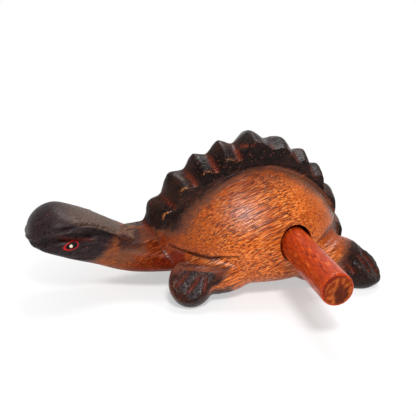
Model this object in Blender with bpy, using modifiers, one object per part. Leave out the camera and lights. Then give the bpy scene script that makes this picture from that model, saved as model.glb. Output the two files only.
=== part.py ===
"""A carved wooden turtle guiro: a one-piece body whose back carries a toothed comb, and the scraper stick
that is kept in a bore in its left flank.

The head points along -X, the left flank faces -Y, and the soles stand on z = 0. Sizes are in metres.
"""

import math

import bmesh
import bpy
from mathutils import Matrix, Vector

# The shell: a dome with its widest level low down, and a flatter belly below it.
SHELL_MIDDLE_X = -0.0030
SHELL_FRONT_REACH = 0.0560
SHELL_REAR_REACH = 0.0460
SHELL_WIDTH = 0.0800
SHELL_LEVEL = 0.0240
SHELL_TOP = 0.0650
BELLY_CLEARANCE = 0.0035
DOME_FULLNESS = 1.62
BELLY_FULLNESS = 3.60

# The comb: a wide toothed crest that arches over the shell from the neck to the rump.
COMB_WIDTH = 0.0240
COMB_RISE = 0.0124
COMB_FOOT_LEVEL = 0.0150
COMB_FRONT_LEAD = 0.0060
COMB_REAR_LEAD = 0.0004
COMB_FRONT_BULGE = 1.93
COMB_REAR_BULGE = 1.94
COMB_ROOT_DEPTH = 0.0200

# The comb's front foot, which flares out into the neck.
COMB_FLARE = 0.0120
COMB_FLARE_LEVEL = 0.0345

# The comb's crown: how far its two sides fall away from its middle, more at the front than at the rear.
COMB_FRONT_FALL = 0.0078
COMB_REAR_FALL = 0.0014
COMB_FALL_CURVE = 1.50
COMB_FALL_LEAD = 0.0210
COMB_FALL_RUN = 0.0280

# The teeth: where the creases lie along the comb, and the shape of the crests between them.
TOOTH_ENDS = (0, 0.142, 0.235, 0.331, 0.408, 0.488, 0.592, 0.674, 0.740, 0.806, 0.901, 1)
TOOTH_HEIGHT = 0.0039
PEAK_TOOTH = 5
PEAK_TOOTH_RISE = 0.0013
TOOTH_LEAN = 0.80
CREST_ROUNDNESS = 0.75

# The neck and the jaw, which climb forwards from inside the shell.
NECK_BURY = 0.0140
NECK_ROOT_WIDTH = 0.0420
NECK_FLARE = 0.0430
NECK_WIDTH = 0.0270
NECK_FLOOR = 0.0073
NECK_TOP = 0.0270
NECK_FULLNESS = 2.00
HEAD_REACH = 0.0635
CHIN_TIP = 0.0276
CHIN_SLOPE = 0.426
CHIN_EASE = 0.0020
CHIN_ROUND = 0.0140
CHIN_FULLNESS = 3.00
CHEEK_RUN = 0.0465
CHEEK_TUCK = 0.0010
CHEEK_START = 0.0400
CHEEK_GROWTH = 0.0190
CHEEK_SWELL = 0.0032
CHEEK_FULLNESS = 2.70

# The domed crown of the head, whose nape slopes down to the neck.
HEAD_WIDTH = 0.0350
HEAD_TOP = 0.0476
NAPE_SLOPE = 0.485
NAPE_EASE = 0.0012
CROWN_SETBACK = 0.0175
CROWN_ROOT_LEAD = 0.0050
CROWN_ROOT_WIDTH = 0.0216
CROWN_FULLNESS = 2.00
NOSE_FULLNESS = 2.50
BROW_FULLNESS = 1.95
NOSE_BLUNTNESS = 0.12

# The lip round the edge of the crown: it climbs from the nose to above the eye, then sinks into the neck.
LIP_DEPTH = 0.0034
LIP_NOSE_LEVEL = 0.0336
LIP_LEVEL = 0.0374
LIP_ROOT_LEVEL = 0.0260
LIP_CLIMB = 0.0275
LIP_SINK = 0.0330

# The legs: a thigh against the shell, and a stubby foot that splays outwards on a flat sole.
FRONT_FOOT_SETBACK = 0.0150
FRONT_FOOT_HEIGHT = 0.0250
FRONT_SPLAY = math.radians(-24)
REAR_FOOT_LEAD = 0.0020
REAR_FOOT_HEIGHT = 0.0209
REAR_SPLAY = math.radians(48)
FOOT_INSET = 0.0090
FOOT_LENGTH = 0.0290
FOOT_WIDTH = 0.0230
SOLE_CUT = 0.0020
FRONT_THIGH_SETBACK = 0.0290
REAR_THIGH_SETBACK = 0.0140
THIGH_INSET = 0.0150
THIGH_LENGTH = 0.0440
THIGH_DEPTH = 0.0300
THIGH_HEIGHT = 0.0245
THIGH_CLEARANCE = 0.0012

# The rump: a low lobe under the shell, where the comb comes to its end.
RUMP_SETBACK = 0.0130
RUMP_LEVEL = 0.0150
RUMP_LENGTH = 0.0360
RUMP_WIDTH = 0.0360
RUMP_HEIGHT = 0.0200

# The toes: a sloping face cut on each foot, with grooves fanned over it.
TOE_SLOPE = math.radians(38)
TOE_FACE_REACH = 0.0070
TOE_FACE_RAISE = 0.0030
TOE_FACE_HEIGHT = 0.0085
TOE_GROOVES = 3
TOE_PITCH = 0.0056
TOE_GROOVE_DEPTH = 0.0022
TOE_GROOVE_WIDTH = 0.0034
TOE_FAN_TOP = 0.35
TOE_FAN_TIP = 1.60

# The scraper stick, and the blind bore that it is kept in.
STICK_DIAMETER = 0.0160
STICK_LENGTH = 0.1180
STICK_EDGE = 0.0010
STICK_SETBACK = 0.0118
STICK_RAISE = 0.0034
BORE_PLAY = 0.0024
BORE_FAR_WALL = 0.0125
BORE_END_GAP = 0.0010
SEAT_GAP = 0.0003

# How finely the block is carved and how its surface is divided.
CARVING_GRAIN = 0.0012
CARVING_PASSES = 8
KEPT_SHARE = 0.09
ROUND_STEPS = 48
OVAL_STEPS = 32
SECTION_STEPS = 20
SHELL_STEPS = 64
ARCH_STEPS = 480
STEPS_PER_TOOTH = 8
COMB_ROWS = 8
WELD = 0.00001

# Where the pieces fall, from the sizes above.
SHELL_FRONT_X = SHELL_MIDDLE_X - SHELL_FRONT_REACH
SHELL_REAR_X = SHELL_MIDDLE_X + SHELL_REAR_REACH
NOSE_X = SHELL_FRONT_X - HEAD_REACH
CROWN_X = NOSE_X + CROWN_SETBACK
CROWN_ROOT_X = SHELL_FRONT_X - CROWN_ROOT_LEAD
STICK_X = SHELL_MIDDLE_X + STICK_SETBACK
STICK_LEVEL = SHELL_LEVEL + STICK_RAISE
BORE_FLOOR_Y = SHELL_WIDTH / 2 - BORE_FAR_WALL
STICK_OUTER_Y = BORE_FLOOR_Y - BORE_END_GAP - STICK_LENGTH


def blend(a, b, share):
    return a + (b - a) * share


def ease(share):
    return 0.5 - 0.5 * math.cos(math.pi * min(1.0, max(0.0, share)))


def rounding(share, fullness):
    """Falls from 1 to 0 as the share goes from 0 to 1, like a superellipse's quarter."""
    return max(0.0, 1 - min(1.0, max(0.0, share)) ** fullness) ** (1 / fullness)


def smooth_step(share):
    share = min(1.0, max(0.0, share))
    return share * share * (3 - 2 * share)


def soft_least(a, b, room):
    """The lesser of two levels, with the corner between them rounded off."""
    return -room * math.log(math.exp(-a / room) + math.exp(-b / room))


def remove_everything():
    for obj in list(bpy.data.objects):
        bpy.data.objects.remove(obj)


def new_collection(name):
    group = bpy.data.collections.new(name)
    bpy.context.scene.collection.children.link(group)
    return group


def add_object(name, data, group):
    obj = bpy.data.objects.new(name, data)
    group.objects.link(obj)
    return obj


def mesh_from(bm, name):
    mesh = bpy.data.meshes.new(name)
    bmesh.ops.recalc_face_normals(bm, faces=bm.faces)
    bm.to_mesh(mesh)
    bm.free()
    return mesh


def wood(name, colour, roughness):
    material = bpy.data.materials.new(name)
    material.use_nodes = True
    shader = material.node_tree.nodes["Principled BSDF"]
    shader.inputs["Base Color"].default_value = (*colour, 1)
    shader.inputs["Roughness"].default_value = roughness
    shader.inputs["Metallic"].default_value = 0
    return material


def shell_mesh():
    """A sphere pulled into a dome, with unlike reaches forwards, backwards, up and down."""
    bm = bmesh.new()
    bmesh.ops.create_uvsphere(bm, u_segments=SHELL_STEPS, v_segments=SHELL_STEPS // 2, radius=1)
    for vertex in bm.verts:
        x, y, z = vertex.co
        fullness = DOME_FULLNESS if z > 0 else BELLY_FULLNESS
        size = (math.hypot(x, y) ** fullness + abs(z) ** fullness) ** (1 / fullness)
        reach = SHELL_REAR_REACH if x > 0 else SHELL_FRONT_REACH
        depth = SHELL_TOP - SHELL_LEVEL if z > 0 else SHELL_LEVEL - BELLY_CLEARANCE
        vertex.co = (
            SHELL_MIDDLE_X + reach * x / size,
            SHELL_WIDTH / 2 * y / size,
            SHELL_LEVEL + depth * z / size,
        )
    return mesh_from(bm, "shell")


def bridge(bm, near, far):
    """A band of faces between two closed rings of points."""
    for index in range(len(near)):
        following = (index + 1) % len(near)
        bm.faces.new((near[index], near[following], far[following], far[index]))


def loft_mesh(name, sections):
    """Upright ovals (x, floor, middle, top, half width, fullness) joined along X, with flat ends."""
    bm = bmesh.new()
    rings = []
    for x, floor, middle, top, half, fullness in sections:
        ring = []
        for step in range(OVAL_STEPS):
            turn = 2 * math.pi * step / OVAL_STEPS
            across, up = math.cos(turn), math.sin(turn)
            rise = top - middle if up > 0 else middle - floor
            y = half * math.copysign(abs(across) ** (2 / fullness), across)
            z = middle + rise * math.copysign(abs(up) ** (2 / fullness), up)
            ring.append(bm.verts.new((x, y, z)))
        rings.append(ring)
    for near, far in zip(rings, rings[1:]):
        bridge(bm, near, far)
    bm.faces.new(rings[0])
    bm.faces.new(rings[-1])
    return mesh_from(bm, name)


def lip_level(x):
    run = x - NOSE_X
    if run < LIP_CLIMB:
        return blend(LIP_NOSE_LEVEL, LIP_LEVEL, ease(run / LIP_CLIMB))
    return blend(LIP_LEVEL, LIP_ROOT_LEVEL, ease((run - LIP_CLIMB) / LIP_SINK))


def jaw_mesh():
    """The neck, the chin and the flat cheeks."""
    root_x = SHELL_FRONT_X + NECK_BURY
    length = root_x - NOSE_X
    sections = []
    for step in range(SECTION_STEPS + 1):
        run = length * step / SECTION_STEPS
        x = root_x - run
        nose = max(NOSE_BLUNTNESS, rounding(1 - (length - run) / CHIN_ROUND, CHIN_FULLNESS))
        floor = -soft_least(-NECK_FLOOR, CHIN_SLOPE * (x - NOSE_X) - CHIN_TIP, CHIN_EASE)
        top = blend(NECK_TOP, lip_level(x) + CHEEK_TUCK, ease(run / CHEEK_RUN))
        cheek = ease((run - CHEEK_START) / CHEEK_GROWTH)
        width = blend(NECK_ROOT_WIDTH, NECK_WIDTH, ease(run / NECK_FLARE)) + CHEEK_SWELL * cheek
        middle = (floor + top) / 2
        rise = (top - floor) / 2 * nose
        fullness = blend(NECK_FULLNESS, CHEEK_FULLNESS, cheek)
        sections.append((x, middle - rise, middle, middle + rise, width / 2 * nose, fullness))
    return loft_mesh("jaw", sections)


def crown_mesh():
    """The broad dome of the head, from its lip up, whose back slopes straight down into the neck."""
    sections = []
    for step in range(SECTION_STEPS + 1):
        x = blend(CROWN_ROOT_X, NOSE_X, step / SECTION_STEPS)
        swell = min(1.0, (CROWN_ROOT_X - x) / (CROWN_ROOT_X - CROWN_X))
        tip = (CROWN_X - x) / (CROWN_X - NOSE_X)
        nose = max(NOSE_BLUNTNESS, rounding(tip, NOSE_FULLNESS))
        brow = max(NOSE_BLUNTNESS, rounding(tip, BROW_FULLNESS))
        top = soft_least(NECK_TOP + NAPE_SLOPE * (CROWN_ROOT_X - x), HEAD_TOP, NAPE_EASE)
        half = blend(CROWN_ROOT_WIDTH, HEAD_WIDTH, ease(swell)) / 2 * nose
        lip = lip_level(x)
        sections.append((x, lip - LIP_DEPTH * nose, lip, blend(lip, top, brow), half, CROWN_FULLNESS))
    return loft_mesh("crown", sections)


def ball_mesh(name, frame, size):
    """An ellipsoid of the given full sizes."""
    bm = bmesh.new()
    bmesh.ops.create_uvsphere(bm, u_segments=OVAL_STEPS, v_segments=OVAL_STEPS // 2, radius=0.5)
    bmesh.ops.scale(bm, vec=size, verts=bm.verts)
    bmesh.ops.transform(bm, matrix=frame, verts=bm.verts)
    return mesh_from(bm, name)


def foot_frame(x, height, splay, side):
    """The frame of one foot: its middle, with local +X along the way that the toes point."""
    middle = Matrix.Translation((x, side * (SHELL_WIDTH / 2 - FOOT_INSET), height / 2 - SOLE_CUT))
    return middle @ Matrix.Rotation(math.atan2(side * math.cos(splay), math.sin(splay)), 4, "Z")


def feet():
    """The height and frame of each of the four feet."""
    front_x = SHELL_FRONT_X + FRONT_FOOT_SETBACK
    rear_x = SHELL_REAR_X + REAR_FOOT_LEAD
    for side in (-1, 1):
        yield FRONT_FOOT_HEIGHT, foot_frame(front_x, FRONT_FOOT_HEIGHT, FRONT_SPLAY, side)
        yield REAR_FOOT_HEIGHT, foot_frame(rear_x, REAR_FOOT_HEIGHT, REAR_SPLAY, side)


def leg_meshes():
    meshes = []
    for height, frame in feet():
        meshes.append(ball_mesh("foot", frame, (FOOT_LENGTH, FOOT_WIDTH, height)))
    thigh_level = THIGH_CLEARANCE + THIGH_HEIGHT / 2
    for thigh_x in (SHELL_FRONT_X + FRONT_THIGH_SETBACK, SHELL_REAR_X - REAR_THIGH_SETBACK):
        for side in (-1, 1):
            thigh = Matrix.Translation((thigh_x, side * (SHELL_WIDTH / 2 - THIGH_INSET), thigh_level))
            meshes.append(ball_mesh("thigh", thigh, (THIGH_LENGTH, THIGH_DEPTH, THIGH_HEIGHT)))
    return meshes


def rump_mesh():
    frame = Matrix.Translation((SHELL_REAR_X - RUMP_SETBACK, 0, RUMP_LEVEL))
    return ball_mesh("rump", frame, (RUMP_LENGTH, RUMP_WIDTH, RUMP_HEIGHT))


def arch_point(turn):
    """A point (x, z) on the line of the creases, from the front (pi) to the rear (0)."""
    across, up = math.cos(turn), math.sin(turn)
    bulge = COMB_REAR_BULGE if across > 0 else COMB_FRONT_BULGE
    reach = SHELL_REAR_REACH + COMB_REAR_LEAD if across > 0 else SHELL_FRONT_REACH + COMB_FRONT_LEAD
    height = SHELL_TOP + COMB_RISE - TOOTH_HEIGHT - COMB_FOOT_LEVEL
    x = SHELL_MIDDLE_X + math.copysign(reach * abs(across) ** (2 / bulge), across)
    z = COMB_FOOT_LEVEL + height * abs(up) ** (2 / bulge)
    if across < 0:
        x -= COMB_FLARE * ease((COMB_FLARE_LEVEL - z) / COMB_FLARE)
    return Vector((x, z))


def comb_outline():
    """The crests' wave from front to rear, the way that each of its points faces, and the comb's root."""
    arch = [arch_point(math.pi * (1 - step / ARCH_STEPS)) for step in range(ARCH_STEPS + 1)]
    reached = [0.0]
    for a, b in zip(arch, arch[1:]):
        reached.append(reached[-1] + (b - a).length)
    wave = []
    facing = []
    root = []
    index = 0
    for tooth, (start, end) in enumerate(zip(TOOTH_ENDS, TOOTH_ENDS[1:])):
        height = TOOTH_HEIGHT + (PEAK_TOOTH_RISE if tooth == PEAK_TOOTH else 0)
        for step in range(STEPS_PER_TOOTH):
            phase = step / STEPS_PER_TOOTH
            run = blend(start, end, phase) * reached[-1]
            while reached[index + 1] < run:
                index += 1
            along = (arch[index + 1] - arch[index]).normalized()
            outward = Vector((-along.y, along.x))
            leaning = (outward + Vector((0, TOOTH_LEAN))).normalized()
            share = (run - reached[index]) / (reached[index + 1] - reached[index])
            place = arch[index].lerp(arch[index + 1], share)
            slope = 1 - abs(2 * phase - 1)
            wave.append(place + leaning * height * blend(slope, smooth_step(slope), CREST_ROUNDNESS))
            facing.append(outward)
            if step == 0:
                root.append(place - outward * COMB_ROOT_DEPTH)
    wave.append(arch[-1])
    facing.append(Vector((1, 0)))
    return wave, facing, root[::-1]


def crown_fall(place, side):
    """How far the comb's upper surface has fallen at one share of its half width."""
    to_rear = smooth_step((place.x - SHELL_MIDDLE_X + COMB_FALL_LEAD) / COMB_FALL_RUN)
    return blend(COMB_FRONT_FALL, COMB_REAR_FALL, to_rear) * abs(side) ** COMB_FALL_CURVE


def comb_mesh():
    """The outline swept across the comb's width, with every crest falling away towards its two ends."""
    wave, facing, root = comb_outline()
    bm = bmesh.new()
    sections = []
    for row in range(COMB_ROWS + 1):
        side = 2 * row / COMB_ROWS - 1
        y = side * COMB_WIDTH / 2
        section = []
        for place, outward in zip(wave, facing):
            fallen = place - outward * crown_fall(place, side)
            section.append(bm.verts.new((fallen.x, y, fallen.y)))
        section += [bm.verts.new((place.x, y, place.y)) for place in root]
        sections.append(section)
    for near, far in zip(sections, sections[1:]):
        bridge(bm, near, far)
    bm.faces.new(sections[0])
    bm.faces.new(sections[-1])
    return mesh_from(bm, "comb")


def helper(name, mesh, group):
    obj = add_object(name, mesh, group)
    obj.hide_render = True
    obj.display_type = "WIRE"
    return obj


def boolean(body, operation, other):
    modifier = body.modifiers.new(other.name, "BOOLEAN")
    modifier.operation = operation
    modifier.object = other
    modifier.solver = "EXACT"


def ground_cutter(group):
    """A slab under the soles, well wider than the turtle."""
    span = 2 * (HEAD_REACH + SHELL_FRONT_REACH + SHELL_REAR_REACH)
    bm = bmesh.new()
    bmesh.ops.create_cube(bm, size=1)
    bmesh.ops.scale(bm, vec=(span, span, SHELL_LEVEL), verts=bm.verts)
    bmesh.ops.translate(bm, vec=(0, 0, -SHELL_LEVEL / 2), verts=bm.verts)
    return helper("ground", mesh_from(bm, "ground"), group)


def bore_cutter(group):
    """A blind bore, drilled from outside the left flank; the stick lies on its lower side."""
    radius = (STICK_DIAMETER + BORE_PLAY) / 2
    depth = BORE_FLOOR_Y - STICK_OUTER_Y
    bm = bmesh.new()
    bmesh.ops.create_cone(
        bm, cap_ends=True, segments=ROUND_STEPS, radius1=radius, radius2=radius, depth=depth
    )
    bmesh.ops.rotate(bm, matrix=Matrix.Rotation(math.pi / 2, 3, "X"), verts=bm.verts)
    level = STICK_LEVEL + BORE_PLAY / 2 - SEAT_GAP
    bmesh.ops.translate(bm, vec=(STICK_X, BORE_FLOOR_Y - depth / 2, level), verts=bm.verts)
    return helper("bore", mesh_from(bm, "bore"), group)


def toe_section(level, fan, depth):
    """The outline of the pared-away wood at one level: a face with vee ridges, and a plain back."""
    outline = [Vector((0, -FOOT_WIDTH, level))]
    for groove in range(TOE_GROOVES):
        middle = (groove - (TOE_GROOVES - 1) / 2) * TOE_PITCH * fan
        outline.append(Vector((0, middle - TOE_GROOVE_WIDTH / 2 * fan, level)))
        outline.append(Vector((-depth, middle, level)))
        outline.append(Vector((0, middle + TOE_GROOVE_WIDTH / 2 * fan, level)))
    outline.append(Vector((0, FOOT_WIDTH, level)))
    outline.append(Vector((FOOT_LENGTH, FOOT_WIDTH, level)))
    outline.append(Vector((FOOT_LENGTH, -FOOT_WIDTH, level)))
    return outline


def toe_cutter(height, frame, group):
    """What is pared from one foot: a sloping face, with grooves that fan out and deepen to the toe tips."""
    top = toe_section(TOE_FACE_HEIGHT, TOE_FAN_TOP, TOE_GROOVE_DEPTH * TOE_FAN_TOP)
    tip = toe_section(-height, TOE_FAN_TIP, TOE_GROOVE_DEPTH)
    bm = bmesh.new()
    upper = [bm.verts.new(point) for point in top]
    lower = [bm.verts.new(point) for point in tip]
    bridge(bm, upper, lower)
    bm.faces.new(upper)
    bm.faces.new(lower)
    place = Matrix.Translation((TOE_FACE_REACH, 0, TOE_FACE_RAISE)) @ Matrix.Rotation(-TOE_SLOPE, 4, "Y")
    bmesh.ops.transform(bm, matrix=frame @ place, verts=bm.verts)
    return helper("toes", mesh_from(bm, "toes"), group)


def carved_body(parts, cutters):
    """The block: rounded masses fused and softened, the comb joined on, then the bore, toes and soles cut."""
    bm = bmesh.new()
    for mass in [shell_mesh(), jaw_mesh(), crown_mesh(), rump_mesh()] + leg_meshes():
        bm.from_mesh(mass)
    body = add_object("carved_body", mesh_from(bm, "carved_body"), parts)
    fuse = body.modifiers.new("fuse", "REMESH")
    fuse.mode = "VOXEL"
    fuse.voxel_size = CARVING_GRAIN
    fuse.use_smooth_shade = True
    soften = body.modifiers.new("soften", "SMOOTH")
    soften.iterations = CARVING_PASSES
    simplify = body.modifiers.new("simplify", "DECIMATE")
    simplify.ratio = KEPT_SHARE
    boolean(body, "UNION", helper("comb", comb_mesh(), cutters))
    boolean(body, "DIFFERENCE", bore_cutter(cutters))
    for height, frame in feet():
        boolean(body, "DIFFERENCE", toe_cutter(height, frame, cutters))
    boolean(body, "DIFFERENCE", ground_cutter(cutters))
    body.data.materials.append(wood("carved_wood", (0.36, 0.12, 0.035), 0.42))


def scraper_stick(parts):
    """A turned stick; its origin is the middle of the outer end, on the line that it slides along."""
    radius = STICK_DIAMETER / 2
    profile = [
        (0, STICK_LENGTH),
        (radius - STICK_EDGE, STICK_LENGTH),
        (radius, STICK_LENGTH - STICK_EDGE),
        (radius, STICK_EDGE),
        (radius - STICK_EDGE, 0),
        (0, 0),
    ]
    bm = bmesh.new()
    points = [bm.verts.new((x, 0, z)) for x, z in profile]
    for a, b in zip(points, points[1:]):
        bm.edges.new((a, b))
    stick = add_object("scraper_stick", mesh_from(bm, "scraper_stick"), parts)
    turn = stick.modifiers.new("turn", "SCREW")
    turn.axis = "Z"
    turn.steps = ROUND_STEPS
    turn.render_steps = ROUND_STEPS
    turn.use_merge_vertices = True
    turn.merge_threshold = WELD
    stick.rotation_euler = (-math.pi / 2, 0, 0)
    stick.location = (STICK_X, STICK_OUTER_Y, STICK_LEVEL)
    stick.data.materials.append(wood("stick_wood", (0.45, 0.11, 0.03), 0.45))


def stand_on_origin(parts, cutters):
    """Moves everything, by one empty, until the middle of the bottom of the parts' box is the origin."""
    bpy.context.view_layer.update()
    graph = bpy.context.evaluated_depsgraph_get()
    corners = []
    for obj in parts.objects:
        mesh = obj.evaluated_get(graph).to_mesh()
        corners += [obj.matrix_world @ vertex.co for vertex in mesh.vertices]
    low = [min(corner[axis] for corner in corners) for axis in range(3)]
    high = [max(corner[axis] for corner in corners) for axis in range(3)]
    root = add_object("turtle", None, parts)
    for obj in list(parts.objects) + list(cutters.objects):
        if obj != root:
            obj.parent = root
    root.location = (-(low[0] + high[0]) / 2, -(low[1] + high[1]) / 2, -low[2])
    print("the box's lower corner", low, "upper corner", high, "moved by", tuple(root.location))


def main():
    remove_everything()
    parts = new_collection("turtle_guiro")
    cutters = new_collection("cutters")
    carved_body(parts, cutters)
    scraper_stick(parts)
    stand_on_origin(parts, cutters)


main()
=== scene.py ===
# %% [markdown]
# A turtle guiro is a small scraped instrument, carved from one block of wood. A toothed comb runs over the
# turtle's back, and a loose stick that is kept in a hole in its left flank is drawn over the teeth.
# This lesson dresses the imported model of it: the frame is loaded first, because it says where everything is.

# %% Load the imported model
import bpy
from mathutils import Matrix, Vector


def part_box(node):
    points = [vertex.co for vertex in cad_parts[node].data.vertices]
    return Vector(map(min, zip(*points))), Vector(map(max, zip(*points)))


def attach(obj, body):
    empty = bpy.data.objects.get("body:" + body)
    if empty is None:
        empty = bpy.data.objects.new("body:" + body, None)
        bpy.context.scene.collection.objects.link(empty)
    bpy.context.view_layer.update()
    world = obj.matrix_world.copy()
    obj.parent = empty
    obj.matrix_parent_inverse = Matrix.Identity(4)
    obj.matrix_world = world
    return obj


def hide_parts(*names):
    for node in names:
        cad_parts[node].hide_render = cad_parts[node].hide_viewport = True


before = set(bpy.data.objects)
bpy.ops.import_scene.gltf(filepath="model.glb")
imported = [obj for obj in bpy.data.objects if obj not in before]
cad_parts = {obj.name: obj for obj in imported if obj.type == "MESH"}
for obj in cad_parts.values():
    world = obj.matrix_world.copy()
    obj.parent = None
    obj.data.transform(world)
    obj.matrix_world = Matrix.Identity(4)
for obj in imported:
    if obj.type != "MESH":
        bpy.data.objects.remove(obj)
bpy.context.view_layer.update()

# %% [markdown]
# The carving is mirrored about a plane through its head and tail, so its forms are easiest to write about
# that plane. The turtle's own coordinates put it at y = 0, with the head along -X and the stick's hole on -Y.
# The stick and the body in the frame tell how far that system is from the frame's own origin.

# %% The turtle's own coordinates
import math

import bmesh
import bpy
import numpy as np
from mathutils import Euler, Matrix, Vector
from mathutils.bvhtree import BVHTree
from mathutils.noise import fractal

MM = 0.001
STICK_X = 8.8 * MM
body_low, body_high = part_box("carved_body")
stick_low, stick_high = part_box("scraper_stick")
TURTLE = Vector(((stick_low.x + stick_high.x) / 2 - STICK_X, (body_low.y + body_high.y) / 2, 0))
print("the turtle's coordinates start at", tuple(TURTLE))

# %% [markdown]
# A photographer would set this piece on a white table and step back with a short telephoto lens, so that the
# head and the tail keep their proportions. The camera stands a little ahead of the turtle, at a low angle.

# %% Camera
PHOTO_PIXELS = 416
FOCAL_PIXELS = 850
CAMERA_PLACE = Vector((-130.3, -411.3, 187.9)) * MM
CAMERA_YAW = math.radians(14)
CAMERA_DROP = math.radians(19.5)
scene = bpy.context.scene
camera_data = bpy.data.cameras.new("studio_camera")
camera_data.sensor_width = 36
camera_data.lens = camera_data.sensor_width * FOCAL_PIXELS / PHOTO_PIXELS
camera = bpy.data.objects.new("studio_camera", camera_data)
camera.location = TURTLE + CAMERA_PLACE
camera.rotation_euler = (math.pi / 2 - CAMERA_DROP, 0, -CAMERA_YAW)
scene.collection.objects.link(camera)
bpy.context.scene.camera = camera
bpy.context.scene.view_settings.view_transform = "Standard"
print("the lens is", round(camera_data.lens, 1), "mm")

# %% [markdown]
# A carver first saws the block to rough masses and rounds them off. The same can be done with simple closed
# shapes that overlap: a dome for the shell, lofted ovals for the neck and the head, and ellipsoids for the
# legs. They are only joined later, so each stays a short rule with a few sizes.

# %% Small helpers for shapes
def blend(a, b, share):
    return a + (b - a) * share


def ease(share):
    return 0.5 - 0.5 * math.cos(math.pi * min(1.0, max(0.0, share)))


def rounding(share, fullness):
    """Falls from 1 to 0 as the share goes from 0 to 1, like a superellipse's quarter."""
    return max(0.0, 1 - min(1.0, max(0.0, share)) ** fullness) ** (1 / fullness)


def new_object(name, mesh):
    obj = bpy.data.objects.new(name, mesh)
    scene.collection.objects.link(obj)
    return obj


def mesh_from(bm, name):
    mesh = bpy.data.meshes.new(name)
    bmesh.ops.recalc_face_normals(bm, faces=bm.faces)
    bm.to_mesh(mesh)
    bm.free()
    return mesh


def evaluated_mesh(obj):
    """The object's mesh with its modifiers applied; the object itself is removed."""
    bpy.context.view_layer.update()
    graph = bpy.context.evaluated_depsgraph_get()
    mesh = bpy.data.meshes.new_from_object(obj.evaluated_get(graph))
    bpy.data.objects.remove(obj)
    return mesh


def bridge(bm, rings):
    """Makes faces between each ring of corners and the next one."""
    for near, far in zip(rings, rings[1:]):
        for index in range(len(near)):
            following = (index + 1) % len(near)
            bm.faces.new((near[index], near[following], far[following], far[index]))


# %% [markdown]
# The shell is a sphere pulled into a dome: its widest level is low, the front reaches further than the rear,
# and the belly is flatter than the back. A power above or below 2 in the sphere's rule makes it boxier or
# slimmer. The same rule also measures how far a point is from the shell, which the finish needs later.

# %% Shell
SHELL_X = -3 * MM
SHELL_REACH = {"front": 56 * MM, "rear": 46 * MM}
SHELL_HALF = 40 * MM
SHELL_LEVEL = 24 * MM
SHELL_TOP = 65 * MM
BELLY_LEVEL = 3.5 * MM
FULLNESS = {"dome": 1.62, "belly": 3.60}
REAR_FULLNESS = 0.15
TINY = 1e-9
SHELL_FRONT = SHELL_X - SHELL_REACH["front"]
SHELL_REAR = SHELL_X + SHELL_REACH["rear"]


def shell_mesh(steps=96):
    bm = bmesh.new()
    bmesh.ops.create_uvsphere(bm, u_segments=steps, v_segments=steps // 2, radius=1)
    for vertex in bm.verts:
        x, y, z = vertex.co
        rearward = max(x, 0) / max(math.hypot(x, y), TINY)
        power = FULLNESS["dome"] + REAR_FULLNESS * rearward**2 if z > 0 else FULLNESS["belly"]
        size = (math.hypot(x, y) ** power + abs(z) ** power) ** (1 / power)
        reach = SHELL_REACH["rear"] if x > 0 else SHELL_REACH["front"]
        depth = SHELL_TOP - SHELL_LEVEL if z > 0 else SHELL_LEVEL - BELLY_LEVEL
        vertex.co = (SHELL_X + reach * x / size, SHELL_HALF * y / size, SHELL_LEVEL + depth * z / size)
    return mesh_from(bm, "shell")


def shell_measure(points):
    """1 on the shell's own surface, less inside it and more outside it."""
    x, y, z = points.T
    reach = np.where(x > SHELL_X, SHELL_REACH["rear"], SHELL_REACH["front"])
    depth = np.where(z > SHELL_LEVEL, SHELL_TOP - SHELL_LEVEL, SHELL_LEVEL - BELLY_LEVEL)
    flat = np.hypot((x - SHELL_X) / reach, y / SHELL_HALF)
    rearward = np.maximum((x - SHELL_X) / reach, 0) / np.maximum(flat, TINY)
    power = np.where(z > SHELL_LEVEL, FULLNESS["dome"] + REAR_FULLNESS * rearward**2, FULLNESS["belly"])
    return (flat**power + (np.abs(z - SHELL_LEVEL) / depth) ** power) ** (1 / power)


print("the shell runs from", SHELL_FRONT, "to", SHELL_REAR)

# %% [markdown]
# The head is spoon-like: a broad dome with a rolled lip all round its edge sits on a narrower jaw with flat
# cheeks. Two lofts make it. The jaw climbs out of the shell as the neck, and the crown's sections are domed
# above the lip and nearly flat below it, so the lip stands a little proud of the cheeks.

# %% Lofts through oval rings
def loft(name, rings):
    bm = bmesh.new()
    rows = [[bm.verts.new(point) for point in ring] for ring in rings]
    bridge(bm, rows)
    bm.faces.new(rows[0])
    bm.faces.new(rows[-1])
    return mesh_from(bm, name)


def oval(x, floor, middle, top, half, fullness, steps=64):
    """A closed upright outline with its own height above and below its widest level."""
    ring = []
    for step in range(steps):
        across, up = math.cos(2 * math.pi * step / steps), math.sin(2 * math.pi * step / steps)
        y = half * math.copysign(abs(across) ** (2 / fullness), across)
        rise = (top - middle) if up > 0 else (middle - floor)
        ring.append((x, y, middle + rise * math.copysign(abs(up) ** (2 / fullness), up)))
    return ring


def soft_least(a, b, room=1.2 * MM):
    """The lesser of two levels, with the corner between them rounded off."""
    return -room * math.log(math.exp(-a / room) + math.exp(-b / room))


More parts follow.
